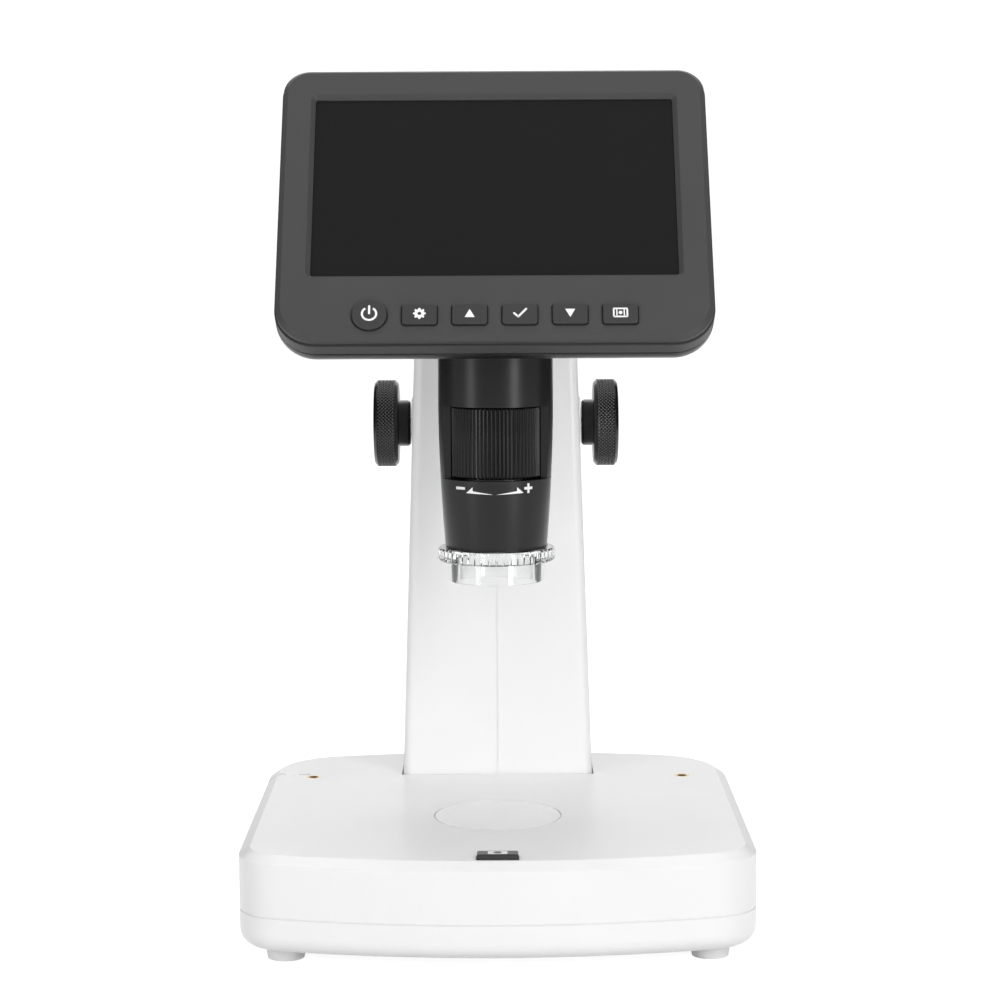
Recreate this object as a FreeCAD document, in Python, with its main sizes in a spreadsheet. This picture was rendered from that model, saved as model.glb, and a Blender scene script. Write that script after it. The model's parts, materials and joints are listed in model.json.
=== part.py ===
"""Handheld-screen digital microscope on a lit base: a tilted screen head with a focusing
barrel, carried by a rack-and-pinion slide in a tapered column.

Frame: millimetres, X to the right, Y to the back, Z up, origin under the middle of the base.
Every size is a cell of the sheet "Sizes", and every feature is bound to those cells."""

import FreeCAD, Part
import math
import os
from types import SimpleNamespace

import Sketcher
from FreeCAD import Placement, Rotation, Vector

doc = FreeCAD.newDocument("LcdMicroscope")

# Driving sizes

SIZES = {
    # Base
    "base_width": 140.0,
    "base_depth": 141.5,
    "base_bow": 240.0,
    "front_corner": 14.0,
    "back_corner": 24.0,
    "tray_height": 9.7,
    "shell_height": 16.5,
    "base_wall": 2.2,
    "base_gap": 0.3,
    "edge_slope": 3.0,
    "edge_drop": 2.0,
    "bottom_round": 4.5,
    "foot_height": 4.0,
    "foot_radius": 5.5,
    "foot_side": 12.5,
    "foot_end": 19.75,
    "foot_taper": 0.5,
    "plate_thick": 3.0,
    "plate_inset": 3.5,
    # Base screws and their bosses
    "base_screw_side": 10.0,
    "front_screw_end": 36.75,
    "back_screw_end": 56.75,
    "boss_radius": 3.8,
    "screw_radius": 1.45,
    "screw_head": 2.8,
    "screw_head_height": 2.0,
    "boss_relief": 0.4,
    "fit_gap": 0.05,
    "free_gap": 0.2,
    # Stage
    "stage_radius": 18.0,
    "stage_thick": 2.0,
    "stage_ledge": 1.8,
    "stage_rim": 2.4,
    "axis_y": -16.7,
    "light_board": 42.0,
    "lamp_near": 8.2,
    "lamp_far": 11.0,
    "lamp_width": 2.8,
    "lamp_thick": 0.8,
    "board_thick": 1.6,
    "board_corner": 1.0,
    "reflector_wall": 1.5,
    "led_count": 8.0,
    # Stage clip sockets
    "clip_side": 14.0,
    "clip_end": 37.75,
    "clip_outer": 2.2,
    "clip_bore": 1.4,
    "clip_depth": 7.0,
    "clip_floor": 1.2,
    "clip_boss": 3.6,
    # Snapshot button
    "shot_width": 11.0,
    "shot_depth": 4.5,
    "shot_rise": 1.4,
    "shot_end": 6.5,
    "shot_corner": 0.6,
    "shot_edge": 0.4,
    "shot_travel": 0.8,
    "shot_flange": 1.0,
    "shot_body": 4.1,
    "shot_board_side": 6.5,
    "shot_board_front": 2.6,
    "shot_board_back": 9.0,
    "shot_post_side": 2.8,
    "shot_post_back": 2.5,
    "post_radius": 2.0,
    "switch_width": 6.0,
    "switch_shift": 0.6,
    "plunger_radius": 1.7,
    "plunger_height": 0.4,
    # Dimmer wheel
    "dimmer_side": 6.4,
    "dimmer_end": 33.95,
    "dimmer_radius": 6.0,
    "dimmer_thick": 2.0,
    "dimmer_rise": 0.5,
    "dimmer_shaft": 1.5,
    "dimmer_edge": 0.3,
    "dimmer_notches": 24.0,
    "pot_width": 6.6,
    "pot_length": 6.0,
    "pot_drop": 7.4,
    "pot_board_width": 26.0,
    "pot_board_depth": 20.0,
    "pot_board_edge": 3.0,
    "pot_post_x": 18.6,
    "pot_post_end": 4.0,
    # Column
    "column_end": 34.75,
    "column_width": 57.8,
    "column_depth": 28.0,
    "column_top": 216.0,
    "column_draft": 1.97,
    "back_draft": 1.24,
    "column_wall": 2.2,
    "column_front_round": 3.0,
    "column_back_round": 8.0,
    "column_top_round": 2.0,
    "seam_gap": 0.2,
    "slot_width": 22.4,
    "slot_bottom": 120.0,
    "slot_top": 206.0,
    "column_screw_inset": 20.0,
    "column_screw_head": 1.4,
    # Guide rods and carriage
    "rod_x": 14.0,
    "rod_inset": 7.1,
    "rod_radius": 2.5,
    "rod_socket": 2.8,
    "block_width": 40.0,
    "block_height": 14.8,
    "block_screw_side": 12.0,
    "block_screw_back": 6.0,
    "block_screw_head": 1.76,
    "block_screw_bite": 8.88,
    "block_hole": 10.36,
    "rod_mount_height": 7.6,
    "rod_mount_roof": 1.6,
    "block_edge": 1.0,
    "bush_wall": 1.0,
    "bush_length": 12.0,
    "running_gap": 0.04,
    "carriage_width": 38.0,
    "carriage_bottom": 124.0,
    "carriage_height": 72.0,
    "carriage_thick": 9.3,
    "carriage_corner": 1.5,
    "channel_width": 12.0,
    # Rack and pinion
    "gear_module": 0.8,
    "pinion_teeth": 16.0,
    "gear_face": 8.0,
    "gear_backlash": 0.12,
    "rack_foot": 3.0,
    "rack_end": 2.0,
    "rack_side": 0.5,
    "pressure_angle": 20.0,
    # Knobs
    "shaft_radius": 3.0,
    "shaft_z": 136.8,
    "shaft_inset": 16.0,
    "shaft_bush_wall": 1.2,
    "shaft_bush_length": 6.0,
    "side_boss_radius": 8.0,
    "side_boss_rise": 0.5,
    "hub_gap": 0.45,
    "hub_radius": 7.05,
    "hub_length": 3.6,
    "knob_radius": 13.25,
    "knob_length": 7.3,
    "knob_edge": 1.0,
    "knob_rim": 2.6,
    "knob_dish": 0.6,
    "hub_edge": 0.8,
    "set_screw_radius": 1.3,
    "set_screw_inset": 1.0,
    # Screen head, in its own leaning frame
    "screen_y": -42.0,
    "screen_z": 206.9,
    "screen_lean": 32.0,
    "head_width": 115.0,
    "head_low": -46.6,
    "head_high": 38.7,
    "head_low_corner": 11.0,
    "head_high_corner": 7.6,
    "frame_depth": 7.0,
    "head_gap": 0.3,
    "cover_depth": 7.9,
    "cover_round": 7.2,
    "head_wall": 2.0,
    "front_wall": 1.6,
    "frame_edge": 1.3,
    "frame_lip": 2.6,
    "frame_groove": 0.6,
    "groove_inset": 0.5,
    "lip_inset": 0.4,
    "window_side": 9.2,
    "window_height": 55.4,
    "window_middle": 1.1,
    "window_bevel": 1.2,
    "window_corner": 0.7,
    "glass_overlap": 2.2,
    "glass_thick": 1.0,
    "panel_side": 5.0,
    "panel_end": 6.7,
    "panel_gap": 0.7,
    "panel_thick": 2.9,
    "stack_gap": 0.1,
    "main_board_side": 7.5,
    "main_board_low": -32.0,
    "main_board_gap": 2.2,
    "head_board_thick": 1.2,
    "battery_width": 48.0,
    "battery_height": 34.0,
    "battery_x": -12.0,
    "battery_thick": 3.6,
    "battery_corner": 1.5,
    "head_screw_side": 7.0,
    "head_screw_foot": 6.1,
    "head_screw_top": 4.3,
    "head_boss": 2.2,
    "head_screw_radius": 0.9,
    "head_screw_head": 1.7,
    "head_screw_head_height": 1.2,
    "head_screw_sink": 4.4,
    "cover_boss_rise": 3.2,
    "usb_width": 9.0,
    "usb_height": 3.1,
    "usb_length": 8.0,
    "card_width": 14.0,
    "card_height": 1.8,
    "card_length": 14.0,
    "card_place": 19.0,
    "socket_inset": 0.9,
    "usb_skin": 0.4,
    "card_skin": 0.35,
    # Keys below the screen
    "key_pitch": 13.0,
    "key_row_end": 7.5,
    "key_width": 9.2,
    "key_height": 6.2,
    "key_corner": 1.0,
    "key_edge": 0.4,
    "key_rise": 0.9,
    "key_travel": 0.8,
    "key_flange": 0.7,
    "key_flange_thick": 1.3,
    "key_stem": 1.0,
    "key_stem_radius": 1.5,
    "key_board_side": 17.5,
    "key_board_height": 14.0,
    "key_board_drop": 5.3,
    "key_switch_width": 5.2,
    "key_switch_height": 3.6,
    "key_plunger_radius": 1.1,
    "key_plunger_height": 0.3,
    # Neck and arm behind the screen
    "neck_radius": 18.5,
    "neck_bottom": 166.0,
    "neck_back": 4.0,
    "neck_width": 34.0,
    "neck_top": 204.0,
    "neck_step": 2.0,
    "neck_corner": 2.0,
    "arm_width": 21.0,
    "arm_bottom": 172.0,
    "arm_height": 26.0,
    "arm_flange": 3.0,
    "arm_flange_height": 33.0,
    "arm_flange_side": 0.5,
    "arm_flange_corner": 2.0,
    "arm_tongue": 2.0,
    "arm_screw_radius": 1.25,
    "arm_screw_head": 2.1,
    "arm_screw_depth": 8.0,
    "arm_screw_head_height": 1.6,
    "arm_screw_end": 4.62,
    "carriage_screw_end": 6.5,
    "arm_screw_side": 0.9,
    # Barrel
    "barrel_radius": 16.0,
    "barrel_bow": 500.0,
    "barrel_bow_z": 150.0,
    "barrel_top": 192.0,
    "nose_top": 127.1,
    "nose_bottom": 107.4,
    "barrel_ledge": 1.4,
    "barrel_bridge": 2.5,
    "wheel_radius": 13.6,
    "wheel_height": 19.7,
    "wheel_gap": 0.3,
    "wheel_edge": 0.5,
    "wheel_ribs": 72.0,
    "rib_depth": 0.35,
    "window_plane": 6.2,
    "lens_bore": 11.0,
    "lens_gap": 0.2,
    "lens_wall": 2.3,
    "lens_bottom": 116.5,
    "lens_length": 25.0,
    "front_lens": 3.2,
    "middle_lens": 2.6,
    "back_lens": 2.2,
    "sensor_z": 160.0,
    "sensor_width": 8.0,
    "sensor_thick": 1.0,
    # Clear tip
    "tip_spigot": 12.4,
    "tip_spigot_rise": 2.6,
    "tip_ring_radius": 16.35,
    "tip_ring_height": 3.6,
    "tip_ribs": 52.0,
    "tip_rib_depth": 0.5,
    "tip_edge": 0.45,
    "tip_skirt_top": 13.45,
    "tip_skirt_bottom": 13.1,
    "tip_skirt_height": 5.8,
    "tip_bore": 11.35,
    "led_ring_count": 8.0,
    "led_ring_inset": 3.4,
    "led_near": 2.6,
    "led_far": 0.9,
    "led_width": 1.8,
    "led_thick": 1.0,
}

sheet = doc.addObject("Spreadsheet::Sheet", "Sizes")
for row, (name, number) in enumerate(SIZES.items(), 1):
    sheet.set(f"A{row}", name)
    sheet.set(f"B{row}", str(number))
    sheet.setAlias(f"B{row}", name)
doc.recompute()


class Term:
    """A size, or sums of sizes: its number and the expression that binds to the sheet."""

    def __init__(self, number, text):
        self.number = number
        self.text = text

    def __float__(self):
        return float(self.number)

    def __neg__(self):
        return Term(-self.number, f"(-{self.text})")

    def __add__(self, other):
        return join(self, "+", other, self.number + float(other))

    def __radd__(self, other):
        return join(other, "+", self, float(other) + self.number)

    def __sub__(self, other):
        return join(self, "-", other, self.number - float(other))

    def __rsub__(self, other):
        return join(other, "-", self, float(other) - self.number)

    def __mul__(self, other):
        return join(self, "*", other, self.number * float(other))

    def __rmul__(self, other):
        return join(other, "*", self, float(other) * self.number)

    def __truediv__(self, other):
        return join(self, "/", other, self.number / float(other))


def term(value):
    return value if isinstance(value, Term) else Term(float(value), f"({float(value)!r})")


def join(left, sign, right, number):
    return Term(number, f"({term(left).text} {sign} {term(right).text})")


def root(value):
    return Term(math.sqrt(float(value)), f"sqrt({value.text})")


def tangent(angle):
    return Term(math.tan(math.radians(float(angle))), f"tan({angle.text})")


def sine(angle):
    return Term(math.sin(math.radians(float(angle))), f"sin({angle.text})")


def cosine(angle):
    return Term(math.cos(math.radians(float(angle))), f"cos({angle.text})")


dim = SimpleNamespace(**{name: Term(sheet.get(name), f"Sizes.{name}") for name in SIZES})

# Places that keep their distance from the outline of the base, the column or the head

dim.foot_x = dim.base_width / 2 - dim.foot_side
dim.foot_y = dim.base_depth / 2 - dim.foot_end
dim.base_screw_x = dim.base_width / 2 - dim.base_screw_side
dim.front_screw_y = dim.front_screw_end - dim.base_depth / 2
dim.back_screw_y = dim.base_depth / 2 - dim.back_screw_end
dim.clip_x = dim.base_width / 2 - dim.clip_side
dim.clip_y = dim.base_depth / 2 - dim.clip_end
dim.shot_y = dim.shot_end - dim.base_depth / 2
dim.dimmer_x = dim.dimmer_side - dim.base_width / 2
dim.dimmer_y = dim.base_depth / 2 - dim.dimmer_end
dim.column_front = dim.base_depth / 2 - dim.column_end
dim.column_screw_y = dim.column_front + dim.column_screw_inset
dim.rod_y = dim.column_front + dim.rod_inset
dim.shaft_y = dim.column_front + dim.shaft_inset
dim.window_width = dim.head_width - dim.window_side * 2
dim.panel_width = dim.head_width - dim.panel_side * 2
dim.main_board_width = dim.head_width - dim.main_board_side * 2
dim.key_board_width = dim.head_width - dim.key_board_side * 2
dim.head_screw_x = dim.head_width / 2 - dim.head_screw_side
dim.head_screw_low = dim.head_low + dim.head_screw_foot
dim.head_screw_high = dim.head_high - dim.head_screw_top
dim.key_row = dim.head_low + dim.key_row_end
dim.panel_low = dim.key_row + dim.key_height / 2 + dim.key_flange + dim.panel_gap
dim.panel_high = dim.head_high - dim.panel_end


def bind(thing, where, value):
    """Bind one property of a document object to the sheet."""
    value = term(value)
    thing.setExpression(where, value.text)


def place(thing, x=0.0, y=0.0, z=0.0, axis=None, angle=0.0):
    """Bind the placement of a sub-part: a move, after a turn about one axis."""
    turn = Rotation(axis or Vector(0, 0, 1), float(angle))
    thing.Placement = Placement(Vector(float(x), float(y), float(z)), turn)
    for letter, value in zip("xyz", (x, y, z)):
        bind(thing, f"Placement.Base.{letter}", value)
    if axis is not None:
        bind(thing, "Placement.Rotation.Angle", angle)
    return thing


def place_on_head(thing):
    """Lean a sub-part with the screen: its XY is the screen plane, its Z points out of it."""
    return place(thing, 0, dim.screen_y, dim.screen_z, Vector(1, 0, 0), 90 - dim.screen_lean)


def place_on_axis(thing):
    """Stand a turned sub-part on the optical axis."""
    return place(thing, 0, dim.axis_y, 0)


# Sketches: each shape below is drawn at its true place and held there by bound constraints

def fix_point(sketch, geometry, end, x, y):
    for kind, value in (("DistanceX", term(x)), ("DistanceY", term(y))):
        number = float(value)
        held = sketch.addConstraint(Sketcher.Constraint(kind, -1, 1, geometry, end, number))
        sketch.setExpression(f"Constraints[{held}]", value.text)


def profile(*points):
    """A closed outline. A point (x, y) ends a line, (x, y, radius) ends an arc, which turns
    left for a radius above zero and right for one below."""

    def draw(sketch):
        count = len(points)
        ends = []
        for index, target in enumerate(points):
            origin = points[index - 1]
            start = Vector(float(origin[0]), float(origin[1]), 0)
            stop = Vector(float(target[0]), float(target[1]), 0)
            if len(target) == 2:
                geometry = sketch.addGeometry(Part.LineSegment(start, stop))
                ends.append((geometry, 1, 2))
                continue
            radius = abs(float(target[2]))
            left = float(target[2]) > 0
            chord = stop - start
            rise = math.sqrt(radius ** 2 - (chord.Length / 2) ** 2)
            side = Vector(-chord.y, chord.x, 0).normalize()
            centre = (start + stop) * 0.5 + side * (rise if left else -rise)
            first, last = (start, stop) if left else (stop, start)
            angles = [math.atan2(p.y - centre.y, p.x - centre.x) for p in (first, last)]
            circle_shape = Part.Circle(centre, Vector(0, 0, 1), radius)
            geometry = sketch.addGeometry(Part.ArcOfCircle(circle_shape, *angles))
            ends.append((geometry, 1, 2) if left else (geometry, 2, 1))
            held = sketch.addConstraint(Sketcher.Constraint("Radius", geometry, radius))
            size = target[2] if left else -target[2]
            sketch.setExpression(f"Constraints[{held}]", term(size).text)
        for index, (geometry, first, last) in enumerate(ends):
            following = ends[(index + 1) % count]
            sketch.addConstraint(
                Sketcher.Constraint("Coincident", geometry, last, following[0], following[1]))
            fix_point(sketch, geometry, last, points[index][0], points[index][1])

    return draw


def rectangle(x0, x1, y0, y1):
    return profile((x0, y0), (x1, y0), (x1, y1), (x0, y1))


def rounded(x0, x1, y0, y1, low, high=None):
    """A rectangle with one radius at its low corners and another at its high ones."""
    high = low if high is None else high
    return profile(
        (x0 + low, y0, low), (x1 - low, y0),
        (x1, y0 + low, low), (x1, y1 - high),
        (x1 - high, y1, high), (x0 + high, y1),
        (x0, y1 - high, high), (x0, y0 + low))


def circle(x, y, radius):
    def draw(sketch):
        centre = Vector(float(x), float(y), 0)
        geometry = sketch.addGeometry(Part.Circle(centre, Vector(0, 0, 1), float(radius)))
        held = sketch.addConstraint(Sketcher.Constraint("Radius", geometry, float(radius)))
        sketch.setExpression(f"Constraints[{held}]", term(radius).text)
        fix_point(sketch, geometry, 3, x, y)

    return draw


# Bodies and their features

PLANES = {"X": "YZ_Plane", "Y": "XZ_Plane", "Z": "XY_Plane"}


def new_body(label):
    body = doc.addObject("PartDesign::Body", label)
    body.Label = label
    return body


def origin_part(body, role):
    return next(part for part in body.Origin.OriginFeatures if part.Role == role)


def new_sketch(body, axis, offset, shapes):
    """A sketch across one axis. Across Y its plane looks to the front, so the offset turns."""
    sketch = body.newObject("Sketcher::SketchObject", f"{body.Name}_sketch")
    sketch.AttachmentSupport = [(origin_part(body, PLANES[axis]), "")]
    sketch.MapMode = "FlatFace"
    bind(sketch, "AttachmentOffset.Base.z", -offset if axis == "Y" else offset)
    for draw in shapes:
        draw(sketch)
    return sketch


def extrude(body, axis, low, high, *shapes, cut=False):
    """Pad or pocket the shapes between two places along an axis."""
    start = term(high if axis == "Y" else low)
    sketch = new_sketch(body, axis, start, shapes)
    kind = "Pocket" if cut else "Pad"
    feature = body.newObject(f"PartDesign::{kind}", f"{body.Name}_{kind.lower()}")
    feature.Profile = sketch
    feature.Reversed = cut
    bind(feature, "Length", high - low)
    return feature


def turn(body, *outlines, cut=False):
    """Revolve outlines of (radius, height) points about the body's own Z axis."""
    sketch = new_sketch(body, "Y", term(0), outlines)
    kind = "Groove" if cut else "Revolution"
    feature = body.newObject(f"PartDesign::{kind}", f"{body.Name}_{kind.lower()}")
    feature.Profile = sketch
    feature.ReferenceAxis = (sketch, ["V_Axis"])
    feature.Angle = 360
    return feature


def around(body, feature, count):
    """Repeat a feature about the body's own Z axis."""
    pattern = body.newObject("PartDesign::PolarPattern", f"{body.Name}_pattern")
    pattern.Originals = [feature]
    pattern.Axis = (origin_part(body, "Z_Axis"), [""])
    pattern.Angle = 360
    bind(pattern, "Occurrences", count)
    body.Tip = pattern
    return pattern


def edges_of(feature, test):
    doc.recompute()
    return [f"Edge{k}" for k, edge in enumerate(feature.Shape.Edges, 1) if test(edge)]


def fillet(body, feature, radius, test):
    rounding = body.newObject("PartDesign::Fillet", f"{body.Name}_fillet")
    rounding.Base = (feature, edges_of(feature, test))
    bind(rounding, "Radius", radius)
    return rounding


def chamfer(body, feature, size, test, second=None, flip=False):
    slope = body.newObject("PartDesign::Chamfer", f"{body.Name}_chamfer")
    slope.Base = (feature, edges_of(feature, test))
    bind(slope, "Size", size)
    if second is not None:
        slope.ChamferType = 1
        slope.FlipDirection = flip
        bind(slope, "Size2", second)
    return slope


def flat_at(axis, value, tolerance=1e-4):
    """A test for edges that lie in the plane across one axis at a place."""
    low, high = f"{axis}Min", f"{axis}Max"

    def test(edge):
        box = edge.BoundBox
        number = float(value)
        return abs(getattr(box, low) - number) < tolerance and abs(getattr(box, high) - number) < tolerance

    return test


def upright(edge):
    box = edge.BoundBox
    return box.ZLength > 1e-3 and box.XLength < 1e-3 and box.YLength < 1e-3


def both(*tests):
    return lambda edge: all(test(edge) for test in tests)


# Plain solids and booleans

nodes = {}


def keep(label, thing):
    """Name a finished sub-part."""
    thing.Label = label
    nodes[label] = thing
    return thing


def block(label, x0, x1, y0, y1, z0, z1):
    solid = doc.addObject("Part::Box", label)
    bind(solid, "Length", x1 - x0)
    bind(solid, "Width", y1 - y0)
    bind(solid, "Height", z1 - z0)
    return place(solid, x0, y0, z0)


def cylinder(label, axis, x, y, z, radius, length):
    """A round bar from a place along X, Y or Z."""
    solid = doc.addObject("Part::Cylinder", label)
    bind(solid, "Radius", radius)
    bind(solid, "Height", length)
    turns = {"X": (Vector(0, 1, 0), 90), "Y": (Vector(-1, 0, 0), 90), "Z": (None, 0)}
    return place(solid, x, y, z, *turns[axis])


def joined(label, *parts):
    fusion = doc.addObject("Part::MultiFuse", label)
    fusion.Shapes = list(parts)
    return fusion


def cut(label, base, *tools):
    tool = tools[0] if len(tools) == 1 else joined(f"{label}_tools", *tools)
    result = doc.addObject("Part::Cut", label)
    result.Base = base
    result.Tool = tool
    return result


def grouped(label, *parts):
    """Separate solids of one sub-part, such as a set of screws."""
    compound = doc.addObject("Part::Compound", label)
    compound.Links = list(parts)
    return keep(label, compound)


SIDES = (-1, 1)

# A screw's hexagon socket, as shares of the head's radius and height
SOCKET_WIDTH = 0.5
SOCKET_DEPTH = 0.55


def screw(label, head_radius, head_height, radius, length, flush=False):
    """A screw with its head's top at the origin, pointing along Z, with a hexagon socket."""
    body = new_body(label)
    if flush:
        turn(body, profile((0, 0), (head_radius, 0), (radius, head_height), (radius, length), (0, length)))
    else:
        turn(body, profile((0, 0), (head_radius, 0), (head_radius, head_height),
                           (radius, head_height), (radius, length), (0, length)))
    corners = []
    for k in range(6):
        angle = math.pi / 3 * k
        corners.append((head_radius * (SOCKET_WIDTH * math.cos(angle)),
                        head_radius * (SOCKET_WIDTH * math.sin(angle))))
    extrude(body, "Z", term(0), head_height * SOCKET_DEPTH, profile(*corners), cut=True)
    return body


# Levels of the base

tray_bottom = dim.foot_height
tray_floor = tray_bottom + dim.base_wall
plate_top = tray_floor + dim.plate_thick
tray_top = tray_bottom + dim.tray_height
shell_bottom = tray_top + dim.base_gap
base_top = shell_bottom + dim.shell_height
roof = base_top - dim.base_wall
BASE_SCREWS = [(side * dim.base_screw_x, y) for side in SIDES for y in (dim.front_screw_y, dim.back_screw_y)]
boss_hole = dim.screw_radius + dim.fit_gap


def base_corner(radius, inset):
    """Where a corner arc of the base leaves the bowed end and meets the straight side."""
    half = dim.base_width / 2 - inset
    bow = dim.base_bow - inset
    round_radius = radius - inset
    reach = bow - round_radius
    across = half - round_radius
    along = root(reach * reach - across * across)
    stretch = bow / reach
    middle = bow - dim.base_depth / 2 + inset
    return round_radius, (across * stretch, along * stretch - middle), (half, along - middle)


def base_outline(inset=0.0):
    """The plan of the base: straight sides, bowed front and back, drawn in by an inset."""
    inset = term(inset)
    bow = dim.base_bow - inset
    front, front_bow, front_side = base_corner(dim.front_corner, inset)
    back, back_bow, back_side = base_corner(dim.back_corner, inset)
    return profile(
        (front_bow[0], -front_bow[1], bow), (front_side[0], -front_side[1], front),
        (back_side[0], back_side[1]), (back_bow[0], back_bow[1], back),
        (-back_bow[0], back_bow[1], bow), (-back_side[0], back_side[1], back),
        (-front_side[0], -front_side[1]), (-front_bow[0], -front_bow[1], front))


def base_form(body, low, high, inset=0.0, hollow=False):
    """A length of the base's plan, added or hollowed out."""
    return extrude(body, "Z", low, high, base_outline(inset), cut=hollow)


def make_tray():
    body = new_body("base_bottom_tray")
    form = base_form(body, tray_bottom, tray_top)
    fillet(body, form, dim.bottom_round, flat_at("Z", tray_bottom))
    base_form(body, tray_floor, tray_top, dim.base_wall, hollow=True)
    extrude(body, "Z", tray_floor, tray_top, *[circle(x, y, dim.boss_radius) for x, y in BASE_SCREWS])
    head = dim.screw_head + dim.free_gap
    extrude(body, "Z", tray_bottom, tray_floor + dim.screw_head_height,
            *[circle(x, y, head) for x, y in BASE_SCREWS], cut=True)
    extrude(body, "Z", tray_floor, tray_top,
            *[circle(x, y, boss_hole + dim.free_gap) for x, y in BASE_SCREWS], cut=True)
    tools = [block_screw_form(f"tray_sink{k}", x, dim.free_gap) for k, x in enumerate(BLOCK_SCREWS)]
    keep("base_bottom_tray", cut("base_bottom_tray", body, *tools))


# Screws up through the tray and the ballast plate into the foot block

BLOCK_SCREWS = [side * (dim.block_width / 2 - dim.block_screw_side) for side in SIDES]
block_screw_y = dim.rod_y + dim.block_screw_back
block_screw_radius = dim.screw_radius
block_screw_length = dim.base_wall + dim.plate_thick + dim.block_screw_bite


def block_screw_form(label, x, gap=0.0):
    """A flush-headed screw from the tray's underside, grown by a gap for its hole."""
    head = doc.addObject("Part::Cone", f"{label}_head")
    bind(head, "Radius1", dim.screw_head + gap)
    bind(head, "Radius2", block_screw_radius + gap)
    bind(head, "Height", dim.block_screw_head)
    place(head, x, block_screw_y, tray_bottom)
    shank = cylinder(f"{label}_shank", "Z", x, block_screw_y, tray_bottom,
                     block_screw_radius + gap, block_screw_length + gap)
    return joined(label, head, shank)


def make_block_screws():
    grouped("foot_block_screws",
            *[block_screw_form(f"block_screw{k}", x) for k, x in enumerate(BLOCK_SCREWS)])


def make_feet():
    feet = []
    for x in SIDES:
        for y in SIDES:
            foot = doc.addObject("Part::Cone", "foot")
            bind(foot, "Radius1", dim.foot_radius - dim.foot_taper)
            bind(foot, "Radius2", dim.foot_radius)
            bind(foot, "Height", dim.foot_height)
            feet.append(place(foot, x * dim.foot_x, y * dim.foot_y, 0))
    grouped("base_feet", *feet)


def make_base_screws():
    screws = []
    length = tray_top + dim.shell_height / 2 - tray_floor
    for x, y in BASE_SCREWS:
        piece = screw("base_screw", dim.screw_head, dim.screw_head_height, dim.screw_radius, length)
        screws.append(place(piece, x, y, tray_floor))
    grouped("base_screws", *screws)


def make_plate():
    body = new_body("ballast_plate")
    base_form(body, tray_floor, plate_top, dim.plate_inset)
    extrude(body, "Z", tray_floor, plate_top,
            *[circle(x, y, dim.boss_radius + dim.base_gap) for x, y in BASE_SCREWS], cut=True)
    extrude(body, "Z", tray_floor, plate_top,
            *[circle(x, block_screw_y, block_screw_radius + dim.free_gap) for x in BLOCK_SCREWS], cut=True)
    keep("ballast_plate", body)


# Column plan at a level: the front stands upright, the sides and the back lean in

def column_half(level):
    return dim.column_width / 2 - (level - base_top) * tangent(dim.column_draft)


def column_back(level):
    return dim.column_front + dim.column_depth - (level - base_top) * tangent(dim.back_draft)


# Stage: a frosted disc on a ledge, a lit board under it and a reflector between them

disc_bottom = base_top - dim.stage_thick
ring_bottom = disc_bottom - dim.stage_rim - dim.stage_ledge / 2
ledge_radius = dim.stage_radius - dim.stage_ledge


def make_stage():
    body = new_body("stage_disc")
    rim = dim.stage_thick / 6
    inner = ledge_radius - dim.free_gap
    turn(body, profile((0, disc_bottom - rim * 3), (inner, disc_bottom - rim * 3), (inner, disc_bottom),
                       (dim.stage_radius, disc_bottom), (dim.stage_radius, base_top - rim),
                       (dim.stage_radius - rim, base_top), (0, base_top)))
    keep("stage_disc", place_on_axis(body))

    half = dim.light_board / 2
    board = new_body("stage_light_board")
    board_top = plate_top + dim.board_thick
    extrude(board, "Z", plate_top, board_top, rounded(-half, half, -half, half, dim.board_corner * 2))
    lamp = extrude(board, "Z", board_top, board_top + dim.lamp_thick,
                   rectangle(dim.lamp_near, dim.lamp_far, -dim.lamp_width / 2, dim.lamp_width / 2))
    around(board, lamp, dim.led_count)
    keep("stage_light_board", place_on_axis(board))

    tube = new_body("stage_reflector")
    outer = half - dim.board_corner
    top_outer = ledge_radius + dim.stage_ledge
    turn(tube, profile((outer - dim.reflector_wall, board_top), (outer, board_top),
                       (top_outer, ring_bottom - dim.base_gap),
                       (top_outer - dim.reflector_wall, ring_bottom - dim.base_gap)))
    keep("stage_reflector", place_on_axis(tube))


# Snapshot button in the front edge, its switch board and the posts that carry it

shot_top = base_top + dim.shot_rise
shot_low = roof - dim.base_gap
shot_bottom = shot_low - dim.shot_flange
shot_board_top = shot_bottom - dim.shot_body
shot_board_half = dim.shot_width / 2 + dim.shot_board_side
shot_board_back = dim.shot_y + dim.shot_board_back
shot_post = (shot_board_half - dim.shot_post_side, shot_board_back - dim.shot_post_back)
stem_end = shot_bottom - dim.shot_travel - dim.stack_gap


def make_snapshot():
    body = new_body("snapshot_button")
    x = dim.shot_width / 2
    y = dim.shot_depth / 2
    flange = dim.shot_flange
    cap = extrude(body, "Z", shot_low, shot_top,
                  rounded(-x, x, dim.shot_y - y, dim.shot_y + y, dim.shot_corner))
    fillet(body, cap, dim.shot_edge, flat_at("Z", shot_top))
    extrude(body, "Z", shot_bottom, shot_low,
            rectangle(-x - flange, x + flange, dim.shot_y - y - flange, dim.shot_y + y + flange))
    keep("snapshot_button", body)

    board = new_body("snapshot_board")
    extrude(board, "Z", shot_board_top - dim.board_thick, shot_board_top,
            rectangle(-shot_board_half, shot_board_half, dim.shot_y - dim.shot_board_front, shot_board_back))
    half = dim.switch_width / 2
    middle = dim.shot_y + dim.switch_shift
    switch_top = stem_end - dim.plunger_height
    extrude(board, "Z", shot_board_top, switch_top, rectangle(-half, half, middle - half, middle + half))
    extrude(board, "Z", switch_top, stem_end, circle(0, dim.shot_y, dim.plunger_radius))
    keep("snapshot_board", board)


# Dimmer wheel in the left edge, on the shaft of a small rotary part

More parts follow.
